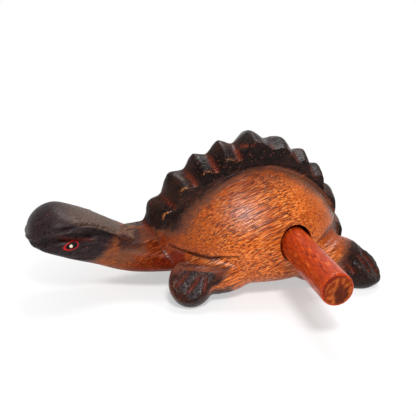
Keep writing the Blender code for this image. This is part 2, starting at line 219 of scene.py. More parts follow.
# %% Neck, jaw and crown
NOSE_X = SHELL_FRONT - 63.5 * MM
BLUNT = 0.12
LIP_PEAK_X = -95 * MM
LIP_LEVEL = {"nose": 33.6 * MM, "peak": 37.4 * MM, "neck": 26 * MM}
LIP_RUN = {"nose": 27.5 * MM, "neck": 33 * MM}
LIP_DEPTH = 3.4 * MM
NECK_ROOT_X = SHELL_FRONT + 14 * MM
NECK_TOP = 27.0 * MM
NECK_CLIMB = 46.5 * MM
NECK_HALF = 13.5 * MM
NECK_FLARE = {"out": 7.5 * MM, "run": 43 * MM}
CHEEK = {"start": 40 * MM, "run": 19 * MM, "out": 1.6 * MM, "fullness": 2.7}
JAW_NOSE = {"length": 14 * MM, "fullness": 3.0}
THROAT_LEVEL = 7.3 * MM
CHIN_TIP = 27.6 * MM
CHIN_SLOPE = 0.426
CHIN_ROOM = 2 * MM
CROWN_X = NOSE_X + 17.5 * MM
CROWN_ROOT_X = SHELL_FRONT - 5 * MM
CROWN_HALF = {"root": 10.8 * MM, "head": 17.5 * MM}
CROWN_FULLNESS = {"plan": 2.5, "profile": 1.95}
NAPE_SLOPE = 0.485
HEAD_TOP = 47.6 * MM


def lip_level(x):
    """The level of the head's lip: it climbs from the nose, then sinks into the neck."""
    if x < LIP_PEAK_X:
        return blend(LIP_LEVEL["nose"], LIP_LEVEL["peak"], ease((x - NOSE_X) / LIP_RUN["nose"]))
    return blend(LIP_LEVEL["peak"], LIP_LEVEL["neck"], ease((x - LIP_PEAK_X) / LIP_RUN["neck"]))


def jaw_mesh(steps=60):
    length = NECK_ROOT_X - NOSE_X
    rings = []
    for step in range(steps + 1):
        run = length * step / steps
        x = NECK_ROOT_X - run
        nose = max(BLUNT, rounding(1 - (length - run) / JAW_NOSE["length"], JAW_NOSE["fullness"]))
        floor = -soft_least(-THROAT_LEVEL, CHIN_SLOPE * (x - NOSE_X) - CHIN_TIP, CHIN_ROOM)
        top = blend(NECK_TOP, lip_level(x) + 1 * MM, ease(run / NECK_CLIMB))
        half = NECK_HALF + NECK_FLARE["out"] * (1 - ease(run / NECK_FLARE["run"]))
        cheek = ease((run - CHEEK["start"]) / CHEEK["run"])
        half += CHEEK["out"] * cheek
        middle = (floor + top) / 2
        rise = (top - floor) / 2 * nose
        fullness = blend(2.0, CHEEK["fullness"], cheek)
        rings.append(oval(x, middle - rise, middle, middle + rise, half * nose, fullness))
    return loft("jaw", rings)


def crown_mesh(steps=60):
    rings = []
    for step in range(steps + 1):
        x = blend(CROWN_ROOT_X, NOSE_X, step / steps)
        growth = min(1.0, (CROWN_ROOT_X - x) / (CROWN_ROOT_X - CROWN_X))
        to_nose = (CROWN_X - x) / (CROWN_X - NOSE_X)
        nose = max(BLUNT, rounding(to_nose, CROWN_FULLNESS["plan"]))
        front = max(BLUNT, rounding(to_nose, CROWN_FULLNESS["profile"]))
        top = soft_least(NECK_TOP + NAPE_SLOPE * (CROWN_ROOT_X - x), HEAD_TOP)
        half = blend(CROWN_HALF["root"], CROWN_HALF["head"], ease(growth)) * nose
        lip = lip_level(x)
        rings.append(oval(x, lip - LIP_DEPTH * nose, lip, blend(lip, top, front), half, 2.0))
    return loft("crown", rings)


print("the nose is at", NOSE_X)

# %% [markdown]
# Each leg is a thigh that lies against the shell and a stubby foot that splays outwards. Ellipsoids are
# enough, since the carver pares a sloping face off each foot afterwards. A frame for each foot is kept, with
# its X axis along the way that the toes point: the paring and the scorching both use it.

# %% Legs and rump
FOOT_SIZE = Vector((29, 23, 25)) * MM
FOOT_HEIGHT = {"front": FOOT_SIZE.z, "rear": 20.9 * MM}
FOOT_X = {"front": SHELL_FRONT + 15 * MM, "rear": SHELL_REAR + 2 * MM}
FOOT_SPLAY = {"front": math.radians(-24), "rear": math.radians(48)}
FOOT_INSET = 9 * MM
FOOT_SINK = 2 * MM
TOE_FACE_PLACE = (7 * MM, 0, 3 * MM)
TOE_SLOPE = math.radians(38)
THIGH_SIZE = Vector((44, 30, 24.5)) * MM
THIGH_X = {"front": SHELL_FRONT + 29 * MM, "rear": SHELL_REAR - 14 * MM}
THIGH_INSET = 15 * MM
THIGH_LEVEL = 13.45 * MM
RUMP_SIZE = Vector((36, 36, 20)) * MM
RUMP_PLACE = (SHELL_REAR - 13 * MM, 0, 15 * MM)


def ball_mesh(name, place, size):
    bm = bmesh.new()
    bmesh.ops.create_uvsphere(bm, u_segments=48, v_segments=24, radius=0.5)
    bmesh.ops.scale(bm, vec=size, verts=bm.verts)
    bmesh.ops.transform(bm, matrix=place, verts=bm.verts)
    return mesh_from(bm, name)


def foot_frame(end, side):
    middle = (FOOT_X[end], side * (SHELL_HALF - FOOT_INSET), FOOT_HEIGHT[end] / 2 - FOOT_SINK)
    turn = math.atan2(side * math.cos(FOOT_SPLAY[end]), math.sin(FOOT_SPLAY[end]))
    return Matrix.Translation(middle) @ Matrix.Rotation(turn, 4, "Z")


def toe_face(place):
    """The frame of a foot's pared face: its X axis stands off the face, and Z runs up the slope."""
    return place @ Matrix.Translation(TOE_FACE_PLACE) @ Matrix.Rotation(-TOE_SLOPE, 4, "Y")


def leg_meshes():
    meshes = []
    for end, side, place in FEET:
        meshes.append(ball_mesh("foot", place, (FOOT_SIZE.x, FOOT_SIZE.y, FOOT_HEIGHT[end])))
        thigh = Matrix.Translation((THIGH_X[end], side * (SHELL_HALF - THIGH_INSET), THIGH_LEVEL))
        meshes.append(ball_mesh("thigh", thigh, THIGH_SIZE))
    meshes.append(ball_mesh("rump", Matrix.Translation(RUMP_PLACE), RUMP_SIZE))
    return meshes


FEET = [(end, side, foot_frame(end, side)) for side in (-1, 1) for end in ("front", "rear")]
print("feet at", [tuple(round(c, 4) for c in place.translation) for _, _, place in FEET])

# %% [markdown]
# Voxel remeshing turns overlapping shells into one skin, and a few smoothing passes soften the lines where
# the masses meet, as sandpaper does. The faces of the feet are pared off after that, so they stay crisp.

# %% Rough block
VOXEL_SIZE = 0.8 * MM
BLOCK_PASSES = 14
SKIN_PASSES = 1
PARING_TOP = 8.5 * MM


def voxel_skin(obj, passes):
    fuse = obj.modifiers.new("fuse", "REMESH")
    fuse.mode = "VOXEL"
    fuse.voxel_size = VOXEL_SIZE
    fuse.use_smooth_shade = True
    soften = obj.modifiers.new("soften", "SMOOTH")
    soften.iterations = passes


def boolean(obj, other, operation):
    modifier = obj.modifiers.new(other.name, "BOOLEAN")
    modifier.operation = operation
    modifier.object = other
    modifier.solver = "MANIFOLD"


def paring(height, place):
    """The wedge of wood that is pared off one foot."""
    bm = bmesh.new()
    bmesh.ops.create_cube(bm, size=1)
    bmesh.ops.translate(bm, vec=(0.5, 0, -0.5), verts=bm.verts)
    bmesh.ops.scale(bm, vec=(FOOT_SIZE.x, 2 * FOOT_SIZE.y, height + PARING_TOP), verts=bm.verts)
    bmesh.ops.translate(bm, vec=(0, 0, PARING_TOP), verts=bm.verts)
    bmesh.ops.transform(bm, matrix=toe_face(place), verts=bm.verts)
    return new_object("paring", mesh_from(bm, "paring"))


bm = bmesh.new()
for mass in [shell_mesh(), jaw_mesh(), crown_mesh()] + leg_meshes():
    bm.from_mesh(mass)
block = new_object("block", mesh_from(bm, "block"))
voxel_skin(block, BLOCK_PASSES)
parings = [paring(FOOT_HEIGHT[end], place) for end, _, place in FEET]
for wedge in parings:
    boolean(block, wedge, "DIFFERENCE")
voxel_skin(block, SKIN_PASSES)
block_mesh = evaluated_mesh(block)
for wedge in parings:
    bpy.data.objects.remove(wedge)
print("the rough block has", len(block_mesh.polygons), "faces")

# %% [markdown]
# The comb is what makes the sound: eleven teeth, wider towards the head, cut as vee creases between rounded
# crests. It follows a rule along a path, which is work for Geometry Nodes. The guide is a line of points
# along the arch. Each tooth takes the same number of points, so a point's number tells its place in it.

# %% Comb guide
TOOTH_ENDS = (0, 0.142, 0.235, 0.331, 0.408, 0.488, 0.592, 0.674, 0.740, 0.806, 0.901, 1)
TOOTH_STEPS = 24
TOOTH_HEIGHT = 3.9 * MM
COMB_WIDTH = 24 * MM
COMB_FOOT = 15 * MM
COMB_TOP = SHELL_TOP + 12.4 * MM - TOOTH_HEIGHT
COMB_FLARE = 12 * MM
COMB_FLARE_LEVEL = 37.5 * MM
ARCH_REACH = {"front": SHELL_REACH["front"] + 6 * MM, "rear": SHELL_REACH["rear"] + 0.4 * MM}
ARCH_FULLNESS = {"front": 1.93, "rear": 1.94}


def arch_point(turn):
    across, up = math.cos(turn), math.sin(turn)
    end = "rear" if across > 0 else "front"
    power = 2 / ARCH_FULLNESS[end]
    x = SHELL_X + math.copysign(ARCH_REACH[end] * abs(across) ** power, across)
    z = COMB_FOOT + (COMB_TOP - COMB_FOOT) * abs(up) ** power
    if across < 0:
        x -= COMB_FLARE * ease((COMB_FLARE_LEVEL - z) / COMB_FLARE)
    return Vector((x, 0, z))


def comb_line(fine=960):
    """Points along the arch of the creases, from the neck to the rump."""
    arch = [arch_point(math.pi * (1 - step / fine)) for step in range(fine + 1)]
    reached = np.cumsum([0.0] + [(b - a).length for a, b in zip(arch, arch[1:])])
    teeth = len(TOOTH_ENDS) - 1
    number = np.arange(teeth * TOOTH_STEPS + 1) / TOOTH_STEPS
    places = np.interp(number, np.arange(teeth + 1), TOOTH_ENDS) * reached[-1]
    return np.stack([np.interp(places, reached, [p[axis] for p in arch]) for axis in range(3)], 1)


comb_points = comb_line()
guide_mesh = bpy.data.meshes.new("comb_guide")
guide_edges = [(i, i + 1) for i in range(len(comb_points) - 1)]
guide_mesh.from_pydata([tuple(p) for p in comb_points], guide_edges, [])
comb = new_object("comb", guide_mesh)
print("the comb's guide has", len(comb_points), "points")

# %% [markdown]
# A node tree is easier to read when each sum is one short call. These helpers add a node, fill its inputs or
# link them, and hand back its result. The finishes use them later too.

# %% Helpers for node trees
def put(tree, kind, inputs=None, **settings):
    """Adds a node, sets its properties, and links or fills its inputs."""
    node = tree.nodes.new(kind)
    for key, value in settings.items():
        setattr(node, key, value)
    for socket, value in (inputs or {}).items():
        if isinstance(value, bpy.types.NodeSocket):
            tree.links.new(value, node.inputs[socket])
        else:
            node.inputs[socket].default_value = value
    return node


def tree_of(values):
    """The tree that a sum belongs to: that of its first value that comes from a node."""
    return next(value.id_data for value in values if isinstance(value, bpy.types.NodeSocket))


def reckon(operation, *values):
    inputs = dict(enumerate(values))
    return put(tree_of(values), "ShaderNodeMath", inputs, operation=operation).outputs[0]


def plus(a, b):
    return reckon("ADD", a, b)


def minus(a, b):
    return reckon("SUBTRACT", a, b)


def times(a, b):
    return reckon("MULTIPLY", a, b)


def reckon_vector(operation, inputs):
    node = put(tree_of(inputs.values()), "ShaderNodeVectorMath", inputs, operation=operation)
    return node.outputs["Value" if operation == "LENGTH" else "Vector"]


def ramp(value, low, high, start=0.0, end=1.0):
    """Climbs smoothly from the start to the end while the value goes from low to high."""
    return put(value.id_data, "ShaderNodeMapRange", {
        "Value": value, "From Min": low, "From Max": high, "To Min": start, "To Max": end,
    }, interpolation_type="SMOOTHSTEP").outputs["Result"]


def keep(geometry, name, value, kind):
    """Stores a value at each point under a name, for recall to read further on."""
    inputs = {"Geometry": geometry, "Name": name, "Value": value}
    stored = put(value.id_data, "GeometryNodeStoreNamedAttribute", inputs, data_type=kind, domain="POINT")
    return stored.outputs[0]


def recall(tree, name, kind):
    return put(tree, "GeometryNodeInputNamedAttribute", {"Name": name}, data_type=kind).outputs[0]


def position(tree):
    return put(tree, "ShaderNodeSeparateXYZ", {0: put(tree, "GeometryNodeInputPosition").outputs[0]}).outputs


# %% [markdown]
# The tree sweeps a rectangle along the guide, then lifts its upper side by the shape of the teeth: nothing at
# a crease and the full height half way. Teeth lean upwards rather than straight off the arch, and a small
# random share makes no two alike. The crests fall away towards the flanks, most at the front and again near
# the tail.

# %% Shape of the teeth
TO_TOP = (-24, 4)
TO_TAIL = (0, 22)
COMB_FALL = {"front": 7.8, "top": 1.4, "tail": 3.0}
FALL_POWER = 1.5
COMB_INPUTS = {
    "Width": COMB_WIDTH,
    "Depth": 12 * MM,
    "Cuts per Side": 19,
    "Points per Tooth": TOOTH_STEPS,
    "Tooth Height": TOOTH_HEIGHT,
    "Peak Tooth": 5,
    "Peak Rise": 1.3 * MM,
    "Lean": 0.8,
    "Roundness": 0.75,
    "Front Fall": COMB_FALL["front"] * MM,
    "Top Fall": COMB_FALL["top"] * MM,
    "Tail Drop": COMB_FALL["tail"] * MM,
    "Unevenness": 0.08,
    "Seed": 4,
}


def tooth_lift(tree, given):
    """The way out of the arch at each point of the guide, and how far its tooth is lifted there."""
    number = put(tree, "GeometryNodeSplineParameter").outputs["Index"]
    place = reckon("DIVIDE", number, given["Points per Tooth"])
    tooth = reckon("FLOOR", place)
    phase = reckon("FRACT", place)
    slope = minus(1.0, reckon("ABSOLUTE", minus(times(phase, 2.0), 1.0)))
    wave = ramp(slope, 0.0, 1.0)
    crest = put(tree, "ShaderNodeMix", {0: given["Roundness"], 2: slope, 3: wave}).outputs[0]
    chance = put(tree, "FunctionNodeRandomValue", {2: -1.0, 3: 1.0, 7: tooth, 8: given["Seed"]}).outputs[1]
    uneven = times(chance, given["Unevenness"])
    height = times(given["Tooth Height"], plus(uneven, 1.0))
    peak = reckon("COMPARE", tooth, given["Peak Tooth"], 0.5)
    height = plus(height, times(peak, given["Peak Rise"]))
    tangent = put(tree, "GeometryNodeInputTangent").outputs[0]
    outward = reckon_vector("CROSS_PRODUCT", {0: tangent, 1: (0, 1, 0)})
    upward = put(tree, "ShaderNodeCombineXYZ", {"Z": given["Lean"]}).outputs[0]
    leaning = reckon_vector("NORMALIZE", {0: reckon_vector("ADD", {0: outward, 1: upward})})
    return outward, reckon_vector("SCALE", {0: leaning, "Scale": times(height, crest)})


def bar_outline(tree, given):
    """The rectangle that is swept, hung below the guide, with 1 stored on its upper side and 0 below."""
    size = {"Width": given["Width"], "Height": given["Depth"]}
    bar = put(tree, "GeometryNodeCurvePrimitiveQuadrilateral", size).outputs[0]
    bar = put(tree, "GeometryNodeSubdivideCurve", {"Curve": bar, "Cuts": given["Cuts per Side"]}).outputs[0]
    upper = minus(0.5, reckon("DIVIDE", position(tree)["Y"], given["Depth"]))
    bar = keep(bar, "upper", upper, "FLOAT")
    sink = put(tree, "ShaderNodeCombineXYZ", {"Y": times(given["Depth"], 0.5)}).outputs[0]
    return put(tree, "GeometryNodeTransform", {"Geometry": bar, "Translation": sink}).outputs[0]


def flank_fall(tree, given, top):
    """How the crests sink towards the flanks: inwards at the front, and straight down near the tail."""
    spot = position(tree)
    share = reckon("DIVIDE", times(spot["Y"], 2.0), given["Width"])
    flank = times(reckon("POWER", reckon("ABSOLUTE", share), FALL_POWER), top)
    past_top, near_tail = (ramp(spot["X"], low * MM, high * MM) for low, high in (TO_TOP, TO_TAIL))
    falls = {0: past_top, 2: given["Front Fall"], 3: given["Top Fall"]}
    fall = times(flank, put(tree, "ShaderNodeMix", falls).outputs[0])
    fall = times(fall, -1.0)
    inwards = reckon_vector("SCALE", {0: recall(tree, "outward", "FLOAT_VECTOR"), "Scale": fall})
    drop = times(flank, times(near_tail, given["Tail Drop"]))
    down = put(tree, "ShaderNodeCombineXYZ", {"Z": times(drop, -1.0)}).outputs[0]
    return reckon_vector("ADD", {0: inwards, 1: down})


# %% [markdown]
# It ends with Realize Instances and Set Material, so that what comes out is real geometry.

# %% Comb tree
def comb_tree():
    tree = bpy.data.node_groups.new("toothed_comb", "GeometryNodeTree")
    tree.interface.new_socket("Geometry", in_out="INPUT", socket_type="NodeSocketGeometry")
    for name, value in COMB_INPUTS.items():
        kind = "NodeSocketInt" if isinstance(value, int) else "NodeSocketFloat"
        tree.interface.new_socket(name, in_out="INPUT", socket_type=kind)
    tree.interface.new_socket("Geometry", in_out="OUTPUT", socket_type="NodeSocketGeometry")
    given = put(tree, "NodeGroupInput").outputs
    line = put(tree, "GeometryNodeMeshToCurve", {"Mesh": given["Geometry"]}).outputs[0]
    outward, lift = tooth_lift(tree, given)
    line = keep(line, "lift", lift, "FLOAT_VECTOR")
    line = keep(line, "outward", outward, "FLOAT_VECTOR")
    swept = {"Curve": line, "Profile Curve": bar_outline(tree, given), "Fill Caps": True}
    teeth = put(tree, "GeometryNodeCurveToMesh", swept).outputs[0]
    top = recall(tree, "upper", "FLOAT")
    lifted = reckon_vector("SCALE", {0: recall(tree, "lift", "FLOAT_VECTOR"), "Scale": top})
    for offset in (lifted, flank_fall(tree, given, top)):
        teeth = put(tree, "GeometryNodeSetPosition", {"Geometry": teeth, "Offset": offset}).outputs[0]
    whole = put(tree, "GeometryNodeRealizeInstances", {"Geometry": teeth}).outputs[0]
    finished = put(tree, "GeometryNodeSetMaterial", {"Geometry": whole}).outputs[0]
    put(tree, "NodeGroupOutput", {0: finished})
    return tree


# %% [markdown]
# The tree's named inputs are set on the modifier by their sockets' identifiers. Two passes of smoothing ease
# the edges, as the stick's rubbing does, and the result is kept as a plain mesh.

# %% Comb mesh
def use_tree(obj, tree, values):
    modifier = obj.modifiers.new(tree.name, "NODES")
    modifier.node_group = tree
    for item in tree.interface.items_tree:
        if item.in_out == "INPUT" and item.name in values:
            modifier[item.identifier] = values[item.name]


use_tree(comb, comb_tree(), COMB_INPUTS)
WELD_GAP = 0.001 * MM
ease_edges = comb.modifiers.new("ease_edges", "SMOOTH")
ease_edges.iterations = 2
comb_mesh = evaluated_mesh(comb)
bm = bmesh.new()
bm.from_mesh(comb_mesh)
bmesh.ops.remove_doubles(bm, verts=bm.verts, dist=WELD_GAP)
bmesh.ops.recalc_face_normals(bm, faces=bm.faces)
bm.to_mesh(comb_mesh)
bm.free()
print("the comb has", len(comb_mesh.polygons), "faces")

# %% [markdown]
# Now the comb joins the block, and the hole for the stick is drilled. Boolean modifiers do both: they keep
# the crisp corner along the comb's foot and the clean rim that a drill leaves.

# %% One body, drilled
BORE_RADIUS = 9.2 * MM
BORE_LEVEL = 28.3 * MM
BORE_FLOOR_Y = 27.5 * MM
BORE_DEPTH = 120 * MM

body = new_object("turtle_body", block_mesh)
comb = new_object("comb", comb_mesh)
boolean(body, comb, "UNION")
bm = bmesh.new()
bmesh.ops.create_cone(
    bm, cap_ends=True, segments=96, radius1=BORE_RADIUS, radius2=BORE_RADIUS, depth=BORE_DEPTH
)
bmesh.ops.rotate(bm, matrix=Matrix.Rotation(math.pi / 2, 3, "X"), verts=bm.verts)
bmesh.ops.translate(bm, vec=(STICK_X, BORE_FLOOR_Y - BORE_DEPTH / 2, BORE_LEVEL), verts=bm.verts)
drill = new_object("drill", mesh_from(bm, "drill"))
boolean(body, drill, "DIFFERENCE")
body_mesh = evaluated_mesh(body)
for tool in (drill, comb):
    bpy.data.objects.remove(tool)
body_mesh.name = "turtle_body"
print("the body has", len(body_mesh.polygons), "faces before carving")

# %% [markdown]
# Gouge strokes are the finest carving. Each stroke is a path on the surface with a width and a depth. Every
# vertex near it moves along its own normal, so strokes follow the form, and each is made on both flanks. For
# that a path, given by a few points, is first pressed onto the skin.

# %% Paths on the skin
BOTH_FLANKS = (1, -1)
LEFT_FLANK = (1,)
skin = BVHTree.FromPolygons(
    [v.co for v in body_mesh.vertices], [tuple(p.vertices) for p in body_mesh.polygons]
)


def along(places, path):
    """Each place's gap to a path, its share along it, and how far below the path it lies."""
    near = np.full(len(places), np.inf)
    share = np.zeros(len(places))
    below = np.zeros(len(places))
    lengths = [np.linalg.norm(b - a) for a, b in zip(path, path[1:])]
    reached = 0.0
    for a, b, length in zip(path, path[1:], lengths):
        step = np.clip((places - a) @ (b - a) / max(length**2, 1e-12), 0, 1)
        offset = places - a - step[:, None] * (b - a)
        gap = np.linalg.norm(offset, axis=1)
        closer = gap < near
        near[closer] = gap[closer]
        share[closer] = ((reached + step * length) / sum(lengths))[closer]
        below[closer] = -offset[closer, 2]
        reached += length
    return near, share, below


def press(path, sides=BOTH_FLANKS):
    """A path given in millimetres for the left flank, laid onto the skin of each flank named."""
    for side in sides:
        yield [np.array(skin.find_nearest(Vector((x, side * y, z)) * MM)[0]) for x, y, z in path]


print("the skin to carve has", len(body_mesh.vertices), "points")

# %% [markdown]
# The strokes of the head are a deep line above the lip, the lip's own bead, the red line over the eye and the
# mouth. The body has a line along the comb's foot, a crease and a corner where the comb meets the neck, a
# ridge down each front leg and fanned grooves on the toes. One crest is chipped. The rims over the legs and
# the ridge of the lip also have the wood below them pared back, so that they stand proud.

# %% Where the strokes run
BROW_LINE = [(-110, -15.5, 37.8), (-107.4, -16.8, 38.4), (-101.7, -16.2, 38.9), (-93.5, -13.1, 38.8),
             (-87.4, -11.1, 37.0), (-81.6, -9.5, 34.7)]
LIP_LINE = [(-122.4, 0.0, 32.4), (-122.0, -4.0, 32.6), (-120.9, -9.5, 33.0), (-118.2, -12.6, 33.5),
            (-113.6, -16.2, 35.1), (-108.4, -17.2, 36.3), (-101.8, -16.8, 37.2), (-94.5, -14.1, 37.4)]
RIDGE_LINE = LIP_LINE[2:] + [(-87.4, -11.1, 36.4), (-81.6, -9.5, 34.0), (-76, -8.6, 31.6)]
EYELID_LINE = [(-109.9, -16.5, 32.4), (-102.1, -17, 32.8), (-94.6, -16.3, 32.6), (-87.7, -14.7, 31.7)]
MOUTH_LINE = [(-104.6, -11.8, 22.4), (-97.3, -12.3, 21.3), (-89.4, -12.9, 20.8)]
COMB_FOOT_LINE = [(-50, -12.6, 35.0), (-43.9, -12.6, 43.3), (-36.9, -12.6, 48.9), (-21.4, -12.6, 58.0),
                  (-11.4, -12.6, 61.0), (0.9, -12.6, 62.6), (10.8, -12.6, 61.5), (20.8, -12.6, 57.2),
                  (29.8, -12.6, 49.3), (37.3, -12.6, 39.2), (40.6, -12.6, 32.0)]
COMB_THROAT = [(-63.4, 0.0, 34.4), (-62.8, -2.4, 33.7), (-61.7, -5.9, 32.1), (-60.2, -9.0, 30.3),
               (-57.6, -12.2, 28.0)]
COMB_CORNER = [(-54.0, -11.5, 40.0), (-54.1, -11.9, 36.6), (-54.2, -12.1, 33.3), (-54.3, -12.6, 29.5)]
FRONT_RIM = [(-54, -17, 26.5), (-50, -21.2, 25.7), (-43.9, -27.4, 24.7), (-35.4, -33.5, 23.9),
             (-20, -37, 24.4)]
REAR_RIM = [(16, -37, 22.5), (22.4, -32.8, 26.9), (28.2, -28, 29.4), (34, -20.5, 31.0), (38.5, -13, 32.0)]
LEG_RIDGE = [(-51.5, -21.0, 25.2), (-47.0, -28.5, 23.2), (-46.4, -33.0, 22.0), (-50.0, -32.6, 18.2)]
FRONT_TOES = [
    [(-45.6, -34.2, 18.2), (-53.6, -36.6, 10.8)],
    [(-40.3, -37.2, 17.2), (-48.8, -40, 7.4)],
    [(-37.7, -38.3, 17.2), (-40.9, -43.6, 8.2)],
]
REAR_TOES = [
    [(46.3, -31.0, 19.3), (51.5, -32.5, 13.0), (55.5, -36.2, 5.8)],
    [(42.5, -35.2, 18.5), (46.8, -36.2, 13.8), (48.9, -39.8, 8.0)],
    [(34.6, -38.5, 17.4), (37.0, -39.6, 14.2), (40.2, -41.4, 9.6)],
]
CREST_CHIPS = [
    [(-12.5, -5.5, 72.2), (-10.7, -6.9, 72.7), (-8.8, -10.3, 72.9)],
    [(-8.2, -11.4, 73.2), (-6.4, -11.8, 74.6)],
]
all_paths = [BROW_LINE, LIP_LINE, RIDGE_LINE, EYELID_LINE, MOUTH_LINE, COMB_FOOT_LINE, FRONT_RIM, REAR_RIM]
all_paths += FRONT_TOES + REAR_TOES + [LEG_RIDGE, COMB_THROAT, COMB_CORNER] + CREST_CHIPS
print("the carver follows", len(all_paths), "paths")

# %% [markdown]
# A stroke is only as crisp as the mesh under it. Splitting the edges that lie close to a path gives the
# strokes finer faces there, while the rest of the skin keeps its larger ones.

# %% A finer mesh along the strokes
FINE_ZONE = 1.5 * MM
bm = bmesh.new()
bm.from_mesh(body_mesh)
bm.verts.ensure_lookup_table()
places = np.array([v.co for v in bm.verts])
close = np.zeros(len(places), bool)
for path in all_paths:
    for laid in press(path):
        close |= along(places, laid)[0] < FINE_ZONE
marked = [edge for edge in bm.edges if close[edge.verts[0].index] and close[edge.verts[1].index]]
bmesh.ops.subdivide_edges(bm, edges=marked, cuts=1, use_grid_fill=True)
bmesh.ops.triangulate(bm, faces=[face for face in bm.faces if len(face.verts) > 4])
bm.to_mesh(body_mesh)
bm.free()
print("with the finer zones the body has", len(body_mesh.polygons), "faces")

# %% [markdown]
# Carving adds up how far each point sinks. A negative depth raises a bead. A stroke also notes how much bare
# wood it uncovers and how much painted shade darkens its groove, because the finish follows the same paths.

# %% Helpers for carving
def read(mesh, what):
    values = np.empty(len(mesh.vertices) * 3)
    mesh.vertices.foreach_get(what, values)
    return values.reshape(-1, 3)


def reshape(mesh, places):
    mesh.vertices.foreach_set("co", places.ravel())
    mesh.update()


def swell(low, high, values):
    """A smooth climb from 0 to 1 between two values."""
    step = np.clip((values - low) / (high - low), 0, 1)
    return step * step * (3 - 2 * step)


def hump(gap, width):
    """1 where the gap is 0, and next to nothing at twice the width."""
    return np.exp(-((gap / width) ** 2))


def run_out(share, taper):
    """Fades a stroke towards both of its ends."""
    return np.clip(4 * share * (1 - share), 0, 1) ** taper


def stroke(path, width, depth, taper=0.5, show=0.0, darkness=0.0, sides=BOTH_FLANKS):
    """A gouge stroke; show is how much bare wood it uncovers, and the darkness given after it is painted shade
    in its groove.
    """
    for laid in press(path, sides):
        near, share, _ = along(points, laid)
        shape = hump(near, width * MM) * run_out(share, taper)
        move[:] -= depth * MM * shape
        bare[:] = np.maximum(bare, show * shape)
        groove_shade[:] = np.maximum(groove_shade, darkness * shape)


def pare_below(path, depth, reach):
    """Pares the wood back below a path on both flanks, and runs out over the reach."""
    for laid in press(path):
        near, share, below = along(points, laid)
        shape = swell(-0.35, 0.45, below / MM) * swell(reach, 0.3 * reach, near / MM)
        move[:] -= depth * MM * shape * run_out(share, 0.5)


# %% Carving
points, normals = read(body_mesh, "co"), read(body_mesh, "normal")
count = len(points)
move, bare, groove_shade = np.zeros(count), np.zeros(count), np.zeros(count)
pare_below(FRONT_RIM, 2.2, 7.5)
pare_below(REAR_RIM, 2.4, 8)
pare_below(RIDGE_LINE, 2.0, 9)
# Painted shade: the rims, the brow line, the comb's foot and its corner get dark lines in their grooves.
stroke(FRONT_RIM, 0.7, 0.8, taper=0.4, darkness=0.7)
stroke(REAR_RIM, 0.7, 0.4, taper=0.4, darkness=0.5)
stroke(BROW_LINE, 0.8, 1.5, darkness=1.0)
stroke(LIP_LINE, 0.9, -1.7, taper=0.4)
stroke(EYELID_LINE, 0.9, 0.9, taper=0.8, show=0.8)
stroke(MOUTH_LINE, 0.6, 0.7, show=0.4)
stroke(COMB_FOOT_LINE, 0.7, 0.45, taper=0.2, darkness=0.9)
for path in FRONT_TOES:
    stroke(path, 1.1, 1.6, taper=0.8, show=0.9)
for path in REAR_TOES:
    stroke(path, 1.2, 1.4, taper=0.8, show=0.8)
stroke(LEG_RIDGE, 0.7, -0.7)
stroke(COMB_THROAT, 1.5, 0.9, taper=0.2, show=0.6)
stroke(COMB_CORNER, 0.6, 0.4, taper=0.4, darkness=1.0)
for path in CREST_CHIPS:
    stroke(path, 0.8, 0.5, show=0.95, sides=LEFT_FLANK)
points += normals * move[:, None]
points[:, 2] = np.maximum(points[:, 2], 0)
reshape(body_mesh, points)
print("the deepest stroke is", round(-move.min() / MM, 2), "mm")

# %% [markdown]
# Use leaves its marks: red wood shows in the creases of the comb, and light wood where the ends of the crests
# are rubbed. The light line down the ridge of each front leg is a painted highlight in the same colour. Each
# mark is a number from 0 to 1 at every point, reckoned in millimetres from where the point lies and which way
# it faces. Tables give how a mark changes along the body.

# %% Marks of the comb on the body
COMB_HALF = COMB_WIDTH / 2 / MM
x, y, z = points.T / MM
away = np.abs(y)
shell_reach = shell_measure(points)
above_neck = (z > 32.5) | ((x > -50) & (z > 20))
on_comb = (away < COMB_HALF + 0.4) & above_neck & (shell_reach > 1.0)


def gap_to_teeth(first):
    """Each point's gap in side view to the nearest crease or crest, and how far it lies past that."""
    line = comb_points[:, ::2] / MM
    course = (np.vstack([line[1:], line[-1:]]) - np.vstack([line[:1], line[:-1]]))[first::TOOTH_STEPS]
    course /= np.linalg.norm(course, axis=1)[:, None]
    outward = np.stack([-course[:, 1], course[:, 0]], 1)
    marks = line[first::TOOTH_STEPS]
    fall = blend(COMB_FALL["front"], COMB_FALL["top"], swell(*TO_TOP, marks[:, 0]))
    drop = COMB_FALL["tail"] * swell(*TO_TAIL, marks[:, 0])
    side = np.minimum(away / COMB_HALF, 1) ** FALL_POWER
    gap, past = np.full(count, np.inf), np.zeros(count)
    for mark, way, depth, low in zip(marks, outward, fall, drop):
        place = mark - (way * depth + np.array((0, low))) * side[:, None]
        ahead, above = x - place[:, 0], z - place[:, 1]
        reach = np.hypot(ahead, above)
        past = np.where(reach < gap, ahead * way[1] - above * way[0], past)
        gap = np.minimum(gap, reach)
    return gap, past


to_crease, _ = gap_to_teeth(0)
to_crest, past_crest = gap_to_teeth(TOOTH_STEPS // 2)
turned = np.abs(normals[:, 1])
crease_red = np.interp(x, [-56, -46, -30, -16, 0, 40], [0.55, 0.45, 0.95, 0.9, 0.5, 0.4])
crease_red *= (0.35 + 0.65 * swell(1, 9, away)) * hump(to_crease, 1.4)
bare = np.maximum(bare, np.where(on_comb & (turned < 0.85), crease_red, 0))
crest_end = swell(0.25, 0.45, turned) * swell(0.93, 0.8, turned) * swell(10.9, 11.5, away)
crest_end *= swell(5.0, 3.4, past_crest) * swell(-1.4, -0.2, past_crest) * swell(6.5, 5, to_crest)
worn = np.interp(x, [-60, -46, -34, -20, -8, 6, 14], [0.9, 0.9, 0.9, 0.45, 0.2, 0.7, 0.3])
wear_and_highlight = np.where(on_comb, worn * crest_end, 0)
